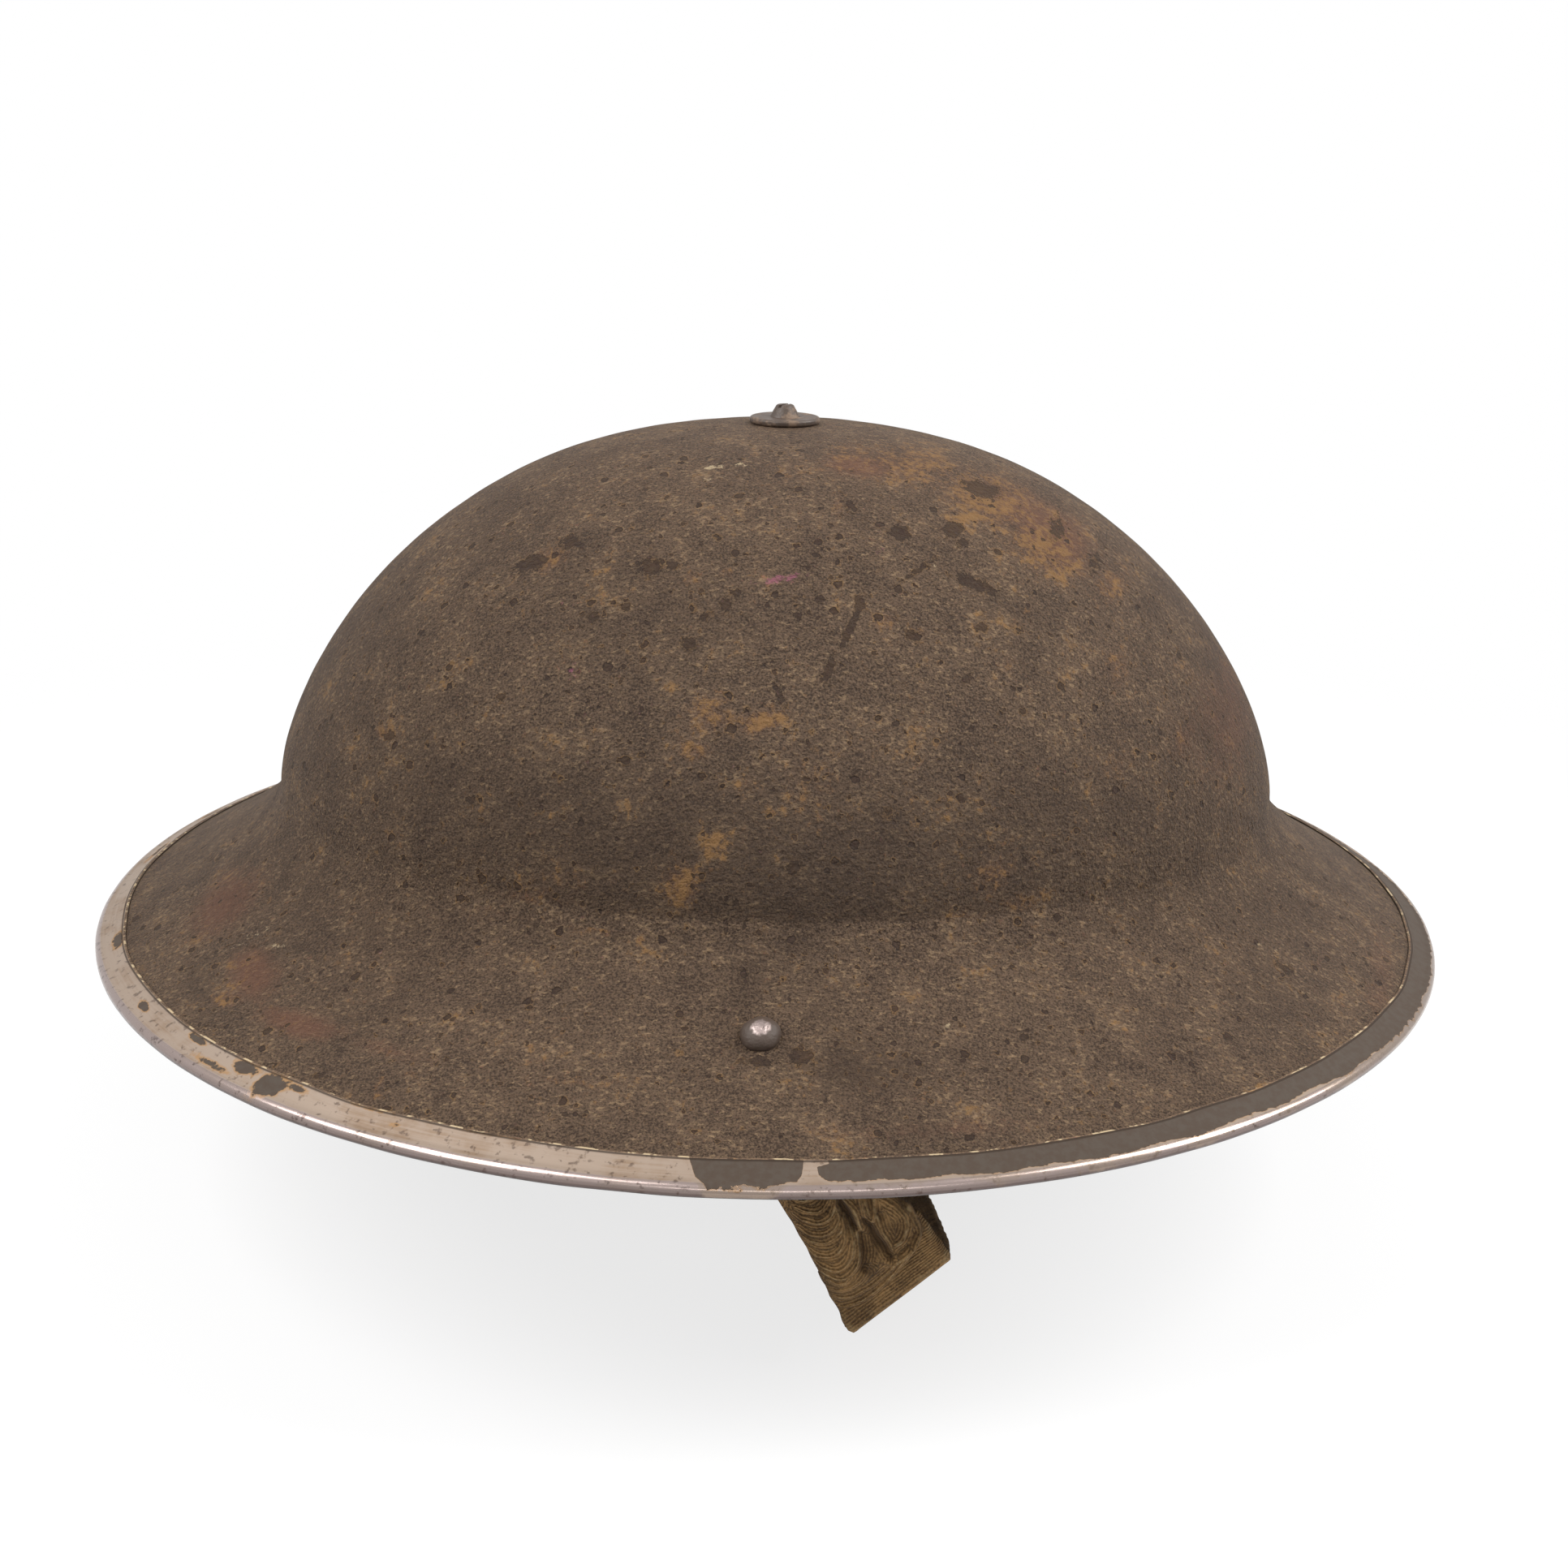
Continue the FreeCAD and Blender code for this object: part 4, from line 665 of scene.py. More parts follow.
def sleeve_grids(lean, mirrored):
    """The gathered sleeve as one closed sheet, and its flat tab.

    The front is two soft channels side by side. Each named fold adds a ridge that rises slowly
    on one side of its line and drops on the other, and each hollow is pressed in softly. The
    back has the same channels with even pleats. A mark darkens the hollows and the whole back,
    partly grease and partly painted shade.
    """
    x = (1 - np.cos(np.linspace(0.04, math.pi - 0.04, 120))) / 2
    x = 0.35 * (x - x[0]) / (x[-1] - x[0]) + 0.65 * np.linspace(0, 1, 120)
    hem = np.interp(-12.6 + 25.4 * x, *np.array(SLEEVE_HEM).T)
    b = SLEEVE_TOP + np.linspace(0, 1, 150)[:, None] * (hem - SLEEVE_TOP)
    left, right = (np.interp(b, *np.array(edge).T) for edge in (SLEEVE_EDGE_LEFT, SLEEVE_EDGE_RIGHT))
    a = left + (right - left) * x

    depth = 2.5 + 0.9 * smooth_step(8, 24, b) - 2.0 * smooth_step(36.0, 43.0, b)
    channels = np.clip(1 - np.abs(2 * x - 1) ** 2.6, 0, 1) ** 0.5 * (1 - 0.30 * np.exp(-((x - 0.52) / 0.09) ** 2))
    ridges, nearest, hollows = np.zeros_like(a), np.full_like(a, 1e9), np.zeros_like(a)
    for height, width_left, width_right, line in SLEEVE_FOLDS:
        d = to_line(a, b, rounded(line))
        soft = np.where(d > 0, width_right, width_left)
        ridges = np.maximum(ridges, height * np.exp(-np.abs(d) / soft * 1.1))
        nearest = np.where(np.abs(d) < np.abs(nearest), d, nearest)
    for height, soft, line in SLEEVE_HOLLOWS:
        hollows = np.maximum(hollows, height * np.exp(-(to_line(a, b, rounded(line)) / soft) ** 2))
    lobe = 0.8 * np.exp(-((a - 1.8) / 2.3) ** 2 - ((b - 36.0) / 4.2) ** 2)
    edge = 0.25 + 0.75 * smooth_step(0.0, 0.08, x) * smooth_step(1.0, 0.93, x)
    front = depth * channels + ridges * edge * sizes().pleat_height / MM - hollows + lobe + 0.25
    even = 0.35 * (1 + np.sin(2 * math.pi * (b / 3.1 + 0.9 * (2 * x - 1) ** 2)))
    back = -(depth * 0.9 * channels + 0.25 + even * edge * smooth_step(42, 38, b))
    for side in (-1, 1):
        centre = side * np.interp(b, *SPRING_LINE)
        cover = np.sqrt(np.clip(SPRING_COVER ** 2 - (a - centre) ** 2, 0, None))
        cover = cover * smooth_step(8.8, 10.2, b) * smooth_step(35.0, 33.4, b)
        front, back = np.maximum(front, cover), np.minimum(back, -cover)
    front[[0, -1]], back[[0, -1]] = 0.0, 0.0
    a = a + 0.12 * waves(a, b, 0 * a, 5, 21)
    # Darkening of the hollows, and below of the whole back: partly grease and partly painted shade.
    grime_and_shade = np.clip(hollows + 0.5 - ridges, 0, 2)
    rubbed = np.exp(-(nearest / 0.28) ** 2) * (ridges > 0.3)
    both = {"a": (a, a), "b": (b, b), "proud": (front, back), "grime_and_shade": (grime_and_shade, 0.5 + 0 * a),
            "rubbed": (rubbed, 0 * a), "rib": (nearest, b)}
    both = {key: np.concatenate([ahead, behind[:, ::-1]], 1) for key, (ahead, behind) in both.items()}
    weights = {key: both[key] for key in ("grime_and_shade", "rubbed", "rib")}
    sheet = {"uv": wrapped_uv(both["a"], both["b"]), "weights": weights,
             "points": sleeve_place(lean, both["a"], both["b"], both["proud"])}

    around = full_turn(36)[None, :]
    down = np.linspace(-5.0, 10.0, 34)[:, None]
    half_width = TAB_HALF_WIDTH * np.sqrt(np.clip(1 - (np.clip(-down, 0, 5) / 5.02) ** 2, 0, 1))
    across = np.sign(np.cos(around)) * np.abs(np.cos(around)) ** 0.5 * half_width
    proud = np.sign(np.sin(around)) * np.abs(np.sin(around)) ** 0.5 * TAB_THICK / 2
    tab = {"points": sleeve_place(lean, across, down, proud), "caps": True, "uv": wrapped_uv(across, down),
           "weights": {"grime_and_shade": 0.0, "rubbed": 0.0, "rib": down}}
    if mirrored:
        for grid in (sheet, tab):
            grid["points"] = grid["points"] * np.array([1.0, -1.0, 1.0])
    return [sheet, tab]


WEB_WIDTH = 27.0
WEB_THICK = 1.8
WEB_POINTS = 40                # across each face


def web_path():
    """The webbing's middle line and its width's direction, creased at the right, soft elsewhere.

    It runs inside each sleeve for its last few millimetres, along the sleeve and as wide.
    """
    start_run, start_width, _ = sleeve_axes(LEAN_RIGHT)
    end_run, end_width, _ = sleeve_axes(LEAN_LEFT)
    start, end = (np.array([SWIVEL[0], y, SWIVEL[2]]) for y in (SLEEVE_Y, -SLEEVE_Y))
    run = np.array([station[:3] for station in WEB_RUN]) + np.array([SWIVEL[0], 0.0, SWIVEL[2]])
    turns = np.radians([station[3] for station in WEB_RUN])
    widths = np.stack([np.cos(turns), 0 * turns, np.sin(turns)], -1)
    before = run[0] + (start + start_run * 35 - run[0]) * 0.12
    after = run[0] + (run[1] - run[0]) * 0.09
    stations = np.array([start + start_run * 33, start + start_run * 38, before, run[0], after, *run[1:],
                         end + end_run * 36, end + end_run * 32])
    directions = np.array([start_width, start_width, widths[0], widths[0], widths[0], *widths[1:],
                           end_width, end_width])
    both = rounded(np.concatenate([stations, directions], 1), 4)
    return both[:, :3], unit(both[:, 3:])


def web_grid():
    """The plain webbing and its length: a rounded strip carried along its path.

    It is a little thicker at its selvedges and tucked in on its left where it leaves the sleeve.
    """
    path, width = web_path()
    place = np.concatenate([[0], np.cumsum(np.linalg.norm(np.diff(path, axis=0), axis=1))])
    at = np.unique(np.concatenate([np.linspace(0, place[-1], 210), np.linspace(6, 20, 60)]))
    path, width = (np.stack([np.interp(at, place, axis) for axis in line.T], -1) for line in (path, width))
    thick = unit(np.cross(unit(np.gradient(path, at, axis=0)), width))
    flat = np.linspace(-1, 1, WEB_POINTS)
    around = np.concatenate([flat, flat[::-1]])
    face = np.repeat((1.0, -1.0), WEB_POINTS)
    selvedge = 1 + 0.12 * np.exp(-((np.abs(around) - 0.93) / 0.04) ** 2)
    proud = face * np.clip(1 - np.abs(around) ** 26, 0, 1) ** 0.5 * WEB_THICK / 2 * selvedge
    fray = 0.22 * waves(at[:, None] + 0 * around, 40 * np.sign(around) + 0 * at[:, None], 0.0, 4, 31)
    tuck = np.interp(at, (0, 16), (0.745, 0.985))[:, None]
    half = WEB_WIDTH / 2 * np.where((around < 0) & (at[:, None] < 30), tuck, 1.0)
    corner = np.clip(np.abs(at[:, None] - 14.5) / 2.4, 0, 1)
    half = half - 1.1 * (around < -0.6) * (1 - corner) ** 2
    across = around * (half + fray * (np.abs(around) > 0.8))
    wander = 0.35 * waves(at[:, None] + 0 * around, 10 * around + 0 * at[:, None], 0.0, 24, 32)
    wander = wander * smooth_step(0, 25, at)[:, None]
    points = path[:, None] + width[:, None] * across[..., None] + thick[:, None] * (proud + wander)[..., None]
    edge = np.clip((np.abs(around) - 0.86) / 0.14, 0, 1)
    crease = np.exp(-((at - 13.5) / 2.5) ** 2)[:, None]
    return {"points": points, "caps": True, "uv": wrapped_uv(across, at[:, None]),
            "weights": {"grime_and_shade": 0.1, "rubbed": 0.5 * edge + 0.35 * crease, "rib": at[:, None]}}, float(at[-1])


# ---------------------------------------------------------------- liner


HEADBAND_HALF_LENGTH = 101.0
HEADBAND_HALF_WIDTH = 82.0
HEADBAND_THICK = 2.0
STRAP_SPRING = 30.0            # height at which the crossed straps leave the headband
STRAP_TOP = 84.8
STRAP_HALF_LENGTH = 104.0
STRAP_HALF_WIDTH = 86.0
PAD_REACH = 45.0               # half length of each of the pad's two bars
PAD_BAR = 17.0                 # and half width
PAD_HOLE = 6.9                 # radius
PAD_LIFT = 3.2                 # its middle above the straps' line
PAD_HALF_THICK = 2.55
RIVET_RADIUS = 3.7
RIVET_HEIGHT = 2.7
RIVET_SEAT = (-1.5, -111.46, 2.56)  # where its foot stands on the brim, on the near side
RIVET_SLOPE = math.radians(29.39)   # the brim's slope there


def sweatband_grid():
    """The oilcloth sweatband: an L section carried round the headband's oval, lightly puckered.

    The lip passes under the headband, and the wall leans in as it rises.
    """
    outline = np.array([(3.9, 3.5), (3.9, 0.2), (0.0, 0.05), (-2.5, 0.3), (-4.0, 9.0), (-5.6, 19.0), (-7.1, 29.0),
                        (-8.5, 37.2), (-8.0, 37.95), (-7.1, 37.2), (-5.7, 28.5), (-4.1, 19.0), (-2.6, 9.6),
                        (-1.5, 3.6), (0.0, 3.6)])
    outline = rounded(np.concatenate([outline, outline[:1]]), 2)[:-1]
    angle = full_turn(360)[:, None]
    offset, height = outline[None, :, 0], outline[None, :, 1]
    gather = 0.28 * (np.sin(angle * 64) + 0.6 * np.sin(angle * 39 + 1.1)) * smooth_step(8, 38, height)
    long_half = HEADBAND_HALF_LENGTH - HEADBAND_THICK + offset - np.abs(gather)
    wide_half = HEADBAND_HALF_WIDTH - HEADBAND_THICK + offset - np.abs(gather)
    points = np.stack(np.broadcast_arrays(long_half * np.cos(angle), wide_half * np.sin(angle), height), -1)
    return {"points": points, "close_rows": True}


def crown_pad_grid():
    """The crown pad: a cross of felt, domed over the crossed straps, with a hole in the middle.

    In plan its edge is the larger of two rounded bars; its section runs from the hole under to
    the edge and back over the top, fattest a third of the way out.
    """
    angle = full_turn(288)[None, :]
    c, s = np.abs(np.cos(angle)) + 1e-6, np.abs(np.sin(angle)) + 1e-6
    bars = [((c / reach) ** 7.0 + (s / half) ** 7.0) ** (-1 / 7.0)
            for reach, half in ((PAD_REACH, PAD_BAR), (PAD_BAR, PAD_REACH))]
    edge = (bars[0] ** 10 + bars[1] ** 10) ** 0.1
    go = full_turn(60)[:, None]
    fat = np.sign(np.sin(go)) * np.abs(np.sin(go)) ** 0.55
    radius = PAD_HOLE + (edge - PAD_HOLE) * (0.5 - 0.5 * np.cos(go))
    x, y = radius * np.cos(angle), radius * np.sin(angle)
    level = np.sqrt(np.clip(1 - (x / STRAP_HALF_LENGTH) ** 2 - (y / STRAP_HALF_WIDTH) ** 2, 0, 1))
    base = STRAP_SPRING + (STRAP_TOP - STRAP_SPRING) * level + PAD_LIFT
    height = base + PAD_HALF_THICK * fat + (fat > 0) * 0.25 * waves(x, y, 0 * x, 13, 41)
    points = np.stack([x + CROWN_X, y, height], -1)
    return {"points": points, "close_rows": True}


def rivet_grids():
    """The two lug rivets: a hand-struck snap head, a little flattened.

    The head is half an ellipsoid over a slightly uneven outline; each stands on the brim's slope.
    """
    angle = full_turn(48)[None, :]
    climb = np.linspace(0, 1, 18)[:, None]
    radius = RIVET_RADIUS * np.cos(climb * math.pi / 2 * 0.985)
    height = RIVET_HEIGHT * np.sin(climb * math.pi / 2) ** 0.92
    uneven = 1 + 0.03 * np.sin(2 * angle + 0.7) + 0.02 * np.sin(5 * angle)
    x, y, z = radius * np.cos(angle) * uneven, radius * np.sin(angle) * uneven, height + 0.1 + 0 * angle
    c, s = math.cos(RIVET_SLOPE), math.sin(RIVET_SLOPE)
    points = np.stack([x, y * c - z * s, y * s + z * c], -1) + np.array(RIVET_SEAT)
    return [{"points": points * np.array([1, side, 1]), "caps": True,
             "weights": {"worn": smooth_step(0.45, 0.95, climb)}} for side in (1, -1)]


# ---------------------------------------------------------------- materials


# Each kind of node used here: Blender's name for it, the output that is read (none where the
# caller picks one), its inputs in the order in which they are given, and its settings.
NODES = {
    "coordinates": ("TexCoord", None, (), {}),
    "mapping": ("Mapping", 0, ("Vector", "Rotation", "Scale"), {}),
    "noise": ("TexNoise", "Fac", ("Vector", "Scale", "Detail", "Roughness", "Distortion"), {}),
    "noise colour": ("TexNoise", "Color", ("Vector", "Scale", "Detail"), {}),
    "cells": ("TexVoronoi", None, ("Vector", "Scale", "Randomness"), {}),
    "mark": ("Attribute", "Fac", (), {}),
    "smooth": ("MapRange", "Result", ("Value", "From Min", "From Max", "To Min", "To Max"),
               {"interpolation_type": "SMOOTHSTEP"}),
    "mix": ("Mix", 2, (0, 6, 7), {"data_type": "RGBA", "clamp_factor": True}),
    "mix values": ("Mix", 0, (0, 2, 3), {}),
    "separate": ("SeparateColor", None, (0,), {}),
    "separate place": ("SeparateXYZ", None, (0,), {}),
    "length": ("VectorMath", "Value", (0,), {"operation": "LENGTH"}),
    "vector scale": ("VectorMath", 0, (0, "Scale"), {"operation": "SCALE"}),
    "vector add": ("VectorMath", 0, (0, 1), {"operation": "ADD"}),
    "vector subtract": ("VectorMath", 0, (0, 1), {"operation": "SUBTRACT"}),
    "bump": ("Bump", 0, ("Height", "Strength", "Distance"), {}),
    "light path": ("LightPath", None, (), {}),
    "geometry": ("NewGeometry", None, (), {}),
    "background": ("Background", 0, ("Color", "Strength"), {}),
    "emission": ("Emission", 0, ("Color", "Strength"), {}),
    "clear": ("BsdfTransparent", 0, (), {}),
    "mix shaders": ("MixShader", 0, (0, 1, 2), {}),
    "world": ("OutputWorld", None, ("Surface",), {}),
}
for operation in ("ADD", "SUBTRACT", "MULTIPLY", "MULTIPLY_ADD", "MAXIMUM", "SINE"):
    NODES[operation.lower().replace("_", " ")] = ("Math", 0, (0, 1, 2), {"operation": operation})


def give(owner, inputs):
    """Gives each of these inputs of a node a value or another node's output."""
    for socket, value in inputs.items():
        if isinstance(value, bpy.types.NodeSocket):
            owner.id_data.links.new(value, owner.inputs[socket])
        else:
            owner.inputs[socket].default_value = value


def add(tree, kind, *inputs, **settings):
    """Adds a node of a kind in NODES, with its inputs in order, and returns its output."""
    name, output, sockets, usual = NODES[kind]
    made = tree.nodes.new("ShaderNode" + name)
    for setting, value in {**usual, **settings}.items():
        setattr(made, setting, value)
    give(made, dict(zip(sockets, inputs)))
    return made.outputs if output is None else made.outputs[output]


def finish_of(name):
    """A new material, the function that adds nodes to it, its shader and its coordinates."""
    material = bpy.data.materials.new(name)
    material.use_nodes = True
    tree = material.node_tree
    return material, partial(add, tree), tree.nodes["Principled BSDF"], add(tree, "coordinates")


def coats(node, base, layers):
    """Lays colours over a base in order.

    Each layer is a pattern's value, the value where the colour starts, the one where it is
    full, how strong it is there, and the colour.
    """
    for value, start, full, strength, tint in layers:
        base = node("mix", node("smooth", value, start, full, 0.0, strength), base, tint)
    return base


def paint_layers(node, place):
    """Colour of old sanded paint with rust coming through, and the patterns of its relief.

    Strokes and grit about a millimetre across are worn pale; soiling and wear change over a few
    centimetres; rust pits of one to three millimetres have a flat floor and a dark outline, and
    crowd together in places. Each kind of mark but the shade is broken up by the speckle before it
    shows; the shade marks are painted shade, darker paint where less light falls, laid on whole.
    """
    c = colours()
    marks = {kind: node("mark", attribute_name=kind) for kind in NEAR_MARKS}
    jitter = node("vector subtract", node("noise colour", place, 1 / (1.2 * MM), 2.0), (0.5, 0.5, 0.5))
    ragged = node("vector add", place, node("vector scale", jitter, 1.6 * MM))
    slanted = node("mapping", place, (0.0, 0.5, 0.0), (0.62, 1.0, 1.0))
    fine = node("noise", place, 1 / (sizes().grit * 0.4), 3.0, 0.65)
    strokes = node("noise", slanted, 1 / (0.8 * MM), 3.0, 0.7)
    speckle = node("noise", place, 1 / (1.6 * MM), 5.0, 0.75)
    patch = node("noise", place, 1 / (9 * MM), 5.0, 0.65, 0.4)
    crowd = node("noise", place, 1 / (13 * MM), 3.0, 0.6)
    cloud = node("noise", place, 1 / (30 * MM), 4.0, 0.6)
    broken = node("multiply add", speckle, 1.5, -0.75)

    tone = node("multiply add", patch, 0.22, node("multiply", fine, 0.78))
    base = node("mix", node("smooth", tone, 0.40, 0.56), c.paint_dark, c.paint)
    worn = node("multiply add", patch, 0.35, strokes)
    base = coats(node, base, ((worn, 0.70, 0.90, 0.95, c.paint_light), (cloud, 0.52, 0.78, 0.3, c.paint_dark)))
    # Painted shade: the shade marks darken the paint towards the soiled tone.
    base = node("mix", node("multiply", marks["shade"], 0.6), base, c.paint_dark)
    red = node("multiply add", marks["ochre"], 0.6, node("multiply add", patch, 0.9, marks["red"]))
    red = node("multiply add", broken, 0.7, red)
    bloom = node("add", marks["ochre"], node("smooth", patch, 0.52, 0.76, 0.0, 0.6))
    bloom = node("multiply add", broken, 2.6, bloom)
    bloom = node("multiply add", patch, 1.2, node("add", bloom, -0.6))
    base = coats(node, base, ((red, 0.50, 1.3, 0.60, c.red), (bloom, 0.45, 1.15, 0.8, c.ochre)))

    depth = node("multiply add", broken, 1.6, marks["dark"])
    depth = node("multiply add", depth, 0.5, -0.22)
    for spacing, largest in ((4.0 * MM, 0.24), (2.1 * MM, 0.26)):
        pits = node("cells", ragged, 1 / spacing, 1.0)
        chance = node("separate", pits["Color"])
        likely = node("multiply add", node("add", crowd, -0.5), 1.5, chance[0])
        radius = node("smooth", likely, 0.30, 1.0, -0.04, largest)
        depth = node("maximum", depth, node("subtract", radius, pits["Distance"]))
    rusty = node("add", patch, node("multiply", chance[1], 0.3))
    halo = node("multiply", node("smooth", depth, -0.10, -0.01), node("smooth", rusty, 0.55, 0.80, 0.05, 0.5))
    hole = node("smooth", depth, -0.015, 0.03)
    rim = node("multiply", hole, node("smooth", depth, 0.02, 0.09, 0.7, 0.0))
    pit_floor = node("mix", node("smooth", speckle, 0.4, 0.6), c.rust, c.paint_dark)
    for amount, tint in ((halo, c.ochre), (node("multiply", hole, 0.85), pit_floor), (rim, c.pit_rim)):
        base = node("mix", amount, base, tint)
    wax = node("multiply add", broken, 2.2, marks["pink"])
    chip = node("multiply add", broken, 2.2, marks["pale"])
    base = coats(node, base, ((wax, 0.45, 0.95, 0.75, c.pink), (chip, 0.62, 0.92, 0.9, c.pale)))
    return base, ragged, fine, strokes, speckle, hole


def sanded_paint():
    """Matt oil paint over sprinkled sand on pressed steel, as brushed on in service.

    Diffuse, rough, with a faint soft sheen; grains about 1 mm; rust pits and ochre bloom.
    """
    material, node, shader, coordinates = finish_of("sanded_paint_on_steel")
    base, ragged, fine, strokes, speckle, hole = paint_layers(node, coordinates["Object"])
    grains = node("cells", ragged, 1 / sizes().grit, 1.0, feature="SMOOTH_F1")["Distance"]
    height = node("multiply add", grains, -0.7, node("multiply", fine, 0.8))
    for pattern, share in ((strokes, 0.9), (speckle, 1.0), (hole, -0.5)):
        height = node("multiply add", pattern, share, height)
    give(shader, {"Base Color": base, "Roughness": node("smooth", fine, 0.2, 0.8, 0.60, 0.85),
                  "Specular IOR Level": 0.2, "Normal": node("bump", height, 1.0, 1.2 * MM)})
    return material


def band_finish():
    """Mild steel strip, once painted, worn bright on the nose: satin metal under a brown film.

    Bare metal with fine scratches along the strip; flaked paint with a pale broken edge. The
    marks "painted" and "scraps" say where paint is left, and "across" runs from 0 at the leg's
    inner edge, by 1 at the nose, to 3 inside the fold. The bowl's own paint laps onto the edge.
    """
    c = colours()
    material, node, shader, coordinates = finish_of("worn_steel_strip")
    place = coordinates["Object"]
    along = node("mapping", coordinates["UV"], (0.0, 0.0, 0.0), (60.0, 1500.0, 1.0))
    streak = node("noise", along, 1.0, 3.0)
    cloud = node("noise", place, 1 / (11 * MM), 4.0, 0.65)
    speck = node("noise", place, 1 / (1.6 * MM), 3.0, 0.6)
    across = node("mark", attribute_name="across")

    film = node("multiply add", cloud, 0.7, node("multiply", streak, 0.35))
    film = node("smooth", film, 0.46, 0.72)
    nose = node("smooth", across, 0.90, 0.99)
    # Painted shade: the lower half of the nose's round is darkened where it turns away from the light.
    under = node("multiply", node("smooth", across, 1.07, 1.15), node("smooth", across, 1.19, 1.26, 1.0, 0.0))
    bead = node("mix", node("multiply", film, 0.5), c.steel, c.leg)
    bead = node("mix", node("multiply", under, 0.8), bead, c.nose_painted_shade)
    metal = node("mix", nose, node("mix", film, c.leg, c.tarnish), bead)
    ragged = node("add", node("multiply add", cloud, 3.0, -1.5), -1.2)
    ragged = node("multiply add", speck, 2.4, ragged)
    paint_at = node("add", node("mark", attribute_name="painted"), node("multiply", ragged, 0.45))
    scrap_at = node("add", node("mark", attribute_name="scraps"), node("multiply", ragged, 0.35))
    rusty = node("smooth", scrap_at, 0.30, 0.55)
    painted = node("maximum", node("smooth", paint_at, -0.04, 0.04), node("smooth", scrap_at, 0.55, 0.66))
    for amount, share, tint in ((node("smooth", speck, 0.56, 0.68), 0.6, c.rust),
                                (node("smooth", paint_at, -1.1, -0.5), 0.6, c.leg),
                                (node("smooth", paint_at, -0.22, -0.03), 0.5, c.ochre), (rusty, 0.7, c.ochre)):
        metal = node("mix", node("multiply", amount, share), metal, tint)
    paint = node("mix", node("smooth", speck, 0.35, 0.65, 0.0, 0.5), c.band_paint, c.paint_dark)
    base = node("mix", painted, metal, paint)
    # Painted shade: a thin dark line in the gap at the leg's inner edge, where the band meets the bowl.
    seam = node("multiply", node("smooth", across, 0.07, 0.10), node("smooth", across, 0.12, 0.16, 1.0, 0.0))
    base = node("mix", node("multiply", seam, 0.85), base, c.seam)
    chips = node("noise", place, 1 / (4.2 * MM), 3.0, 0.7)
    bowl = coats(node, paint_layers(node, place)[0], ((chips, 0.53, 0.58, 0.85, c.pale),))
    edge = node("smooth", across, 0.06, 0.085, 1.0, 0.0)
    base = node("mix", edge, base, bowl)

    matt = node("maximum", node("maximum", painted, node("multiply", rusty, 0.7)), node("maximum", edge, seam))
    shine = node("multiply", node("subtract", 1.0, matt), node("smooth", nose, 0.0, 1.0, 0.35, 1.0))
    dull = node("mix values", matt, node("smooth", nose, 0.0, 1.0, 0.50, 0.24), 0.72)
    level = node("multiply add", painted, 1.4, node("multiply", streak, 0.25))
    level = node("multiply add", seam, -2.0, level)
    give(shader, {"Base Color": base, "Metallic": node("multiply", shine, 0.9), "Roughness": dull,
                  "Specular IOR Level": 0.2, "Normal": node("bump", level, 0.7, 0.18 * MM)})
    return material


def fitting_finish(name, tint, worn_tint, wear, roughness, metallic=0.85):
    """Dull plated or painted steel: grey with brown film in broad patches and fine nicks."""
    material, node, shader, coordinates = finish_of(name)
    cloud = node("noise", coordinates["Object"], 1 / (4 * MM), 4.0, 0.65)
    speck = node("noise", coordinates["Object"], 1 / (0.8 * MM), 3.0, 0.55)
    worn = node("multiply add", cloud, 0.7, node("multiply", speck, 0.3))
    base = node("mix", node("smooth", worn, wear, wear + 0.12), tint, worn_tint)
    give(shader, {"Base Color": coats(node, base, ((speck, 0.62, 0.72, 0.7, colours().rust),)),
                  "Roughness": node("smooth", cloud, 0.3, 0.7, roughness - 0.08, roughness + 0.10),
                  "Metallic": metallic, "Normal": node("bump", node("add", cloud, speck), 0.5, 0.2 * MM)})
    return material


def rivet_finish():
    """Struck steel rivet, oxidised dark round its foot and rubbed bright on its top."""
    c = colours()
    material, node, shader, coordinates = finish_of("struck_rivet")
    speck = node("noise", coordinates["Object"], 1 / (1.1 * MM), 4.0, 0.65)
    bright = node("multiply add", speck, 0.9, node("add", node("mark", attribute_name="worn"), -0.45))
    bright = node("smooth", bright, 0.35, 0.75)
    base = node("mix", bright, c.paint_dark, c.steel)
    give(shader, {"Base Color": coats(node, base, ((speck, 0.60, 0.70, 0.6, c.rust),)),
                  "Metallic": node("multiply", bright, 0.8), "Normal": node("bump", speck, 0.8, 0.3 * MM),
                  "Roughness": node("smooth", bright, 0.0, 1.0, 0.6, 0.34)})
    return material


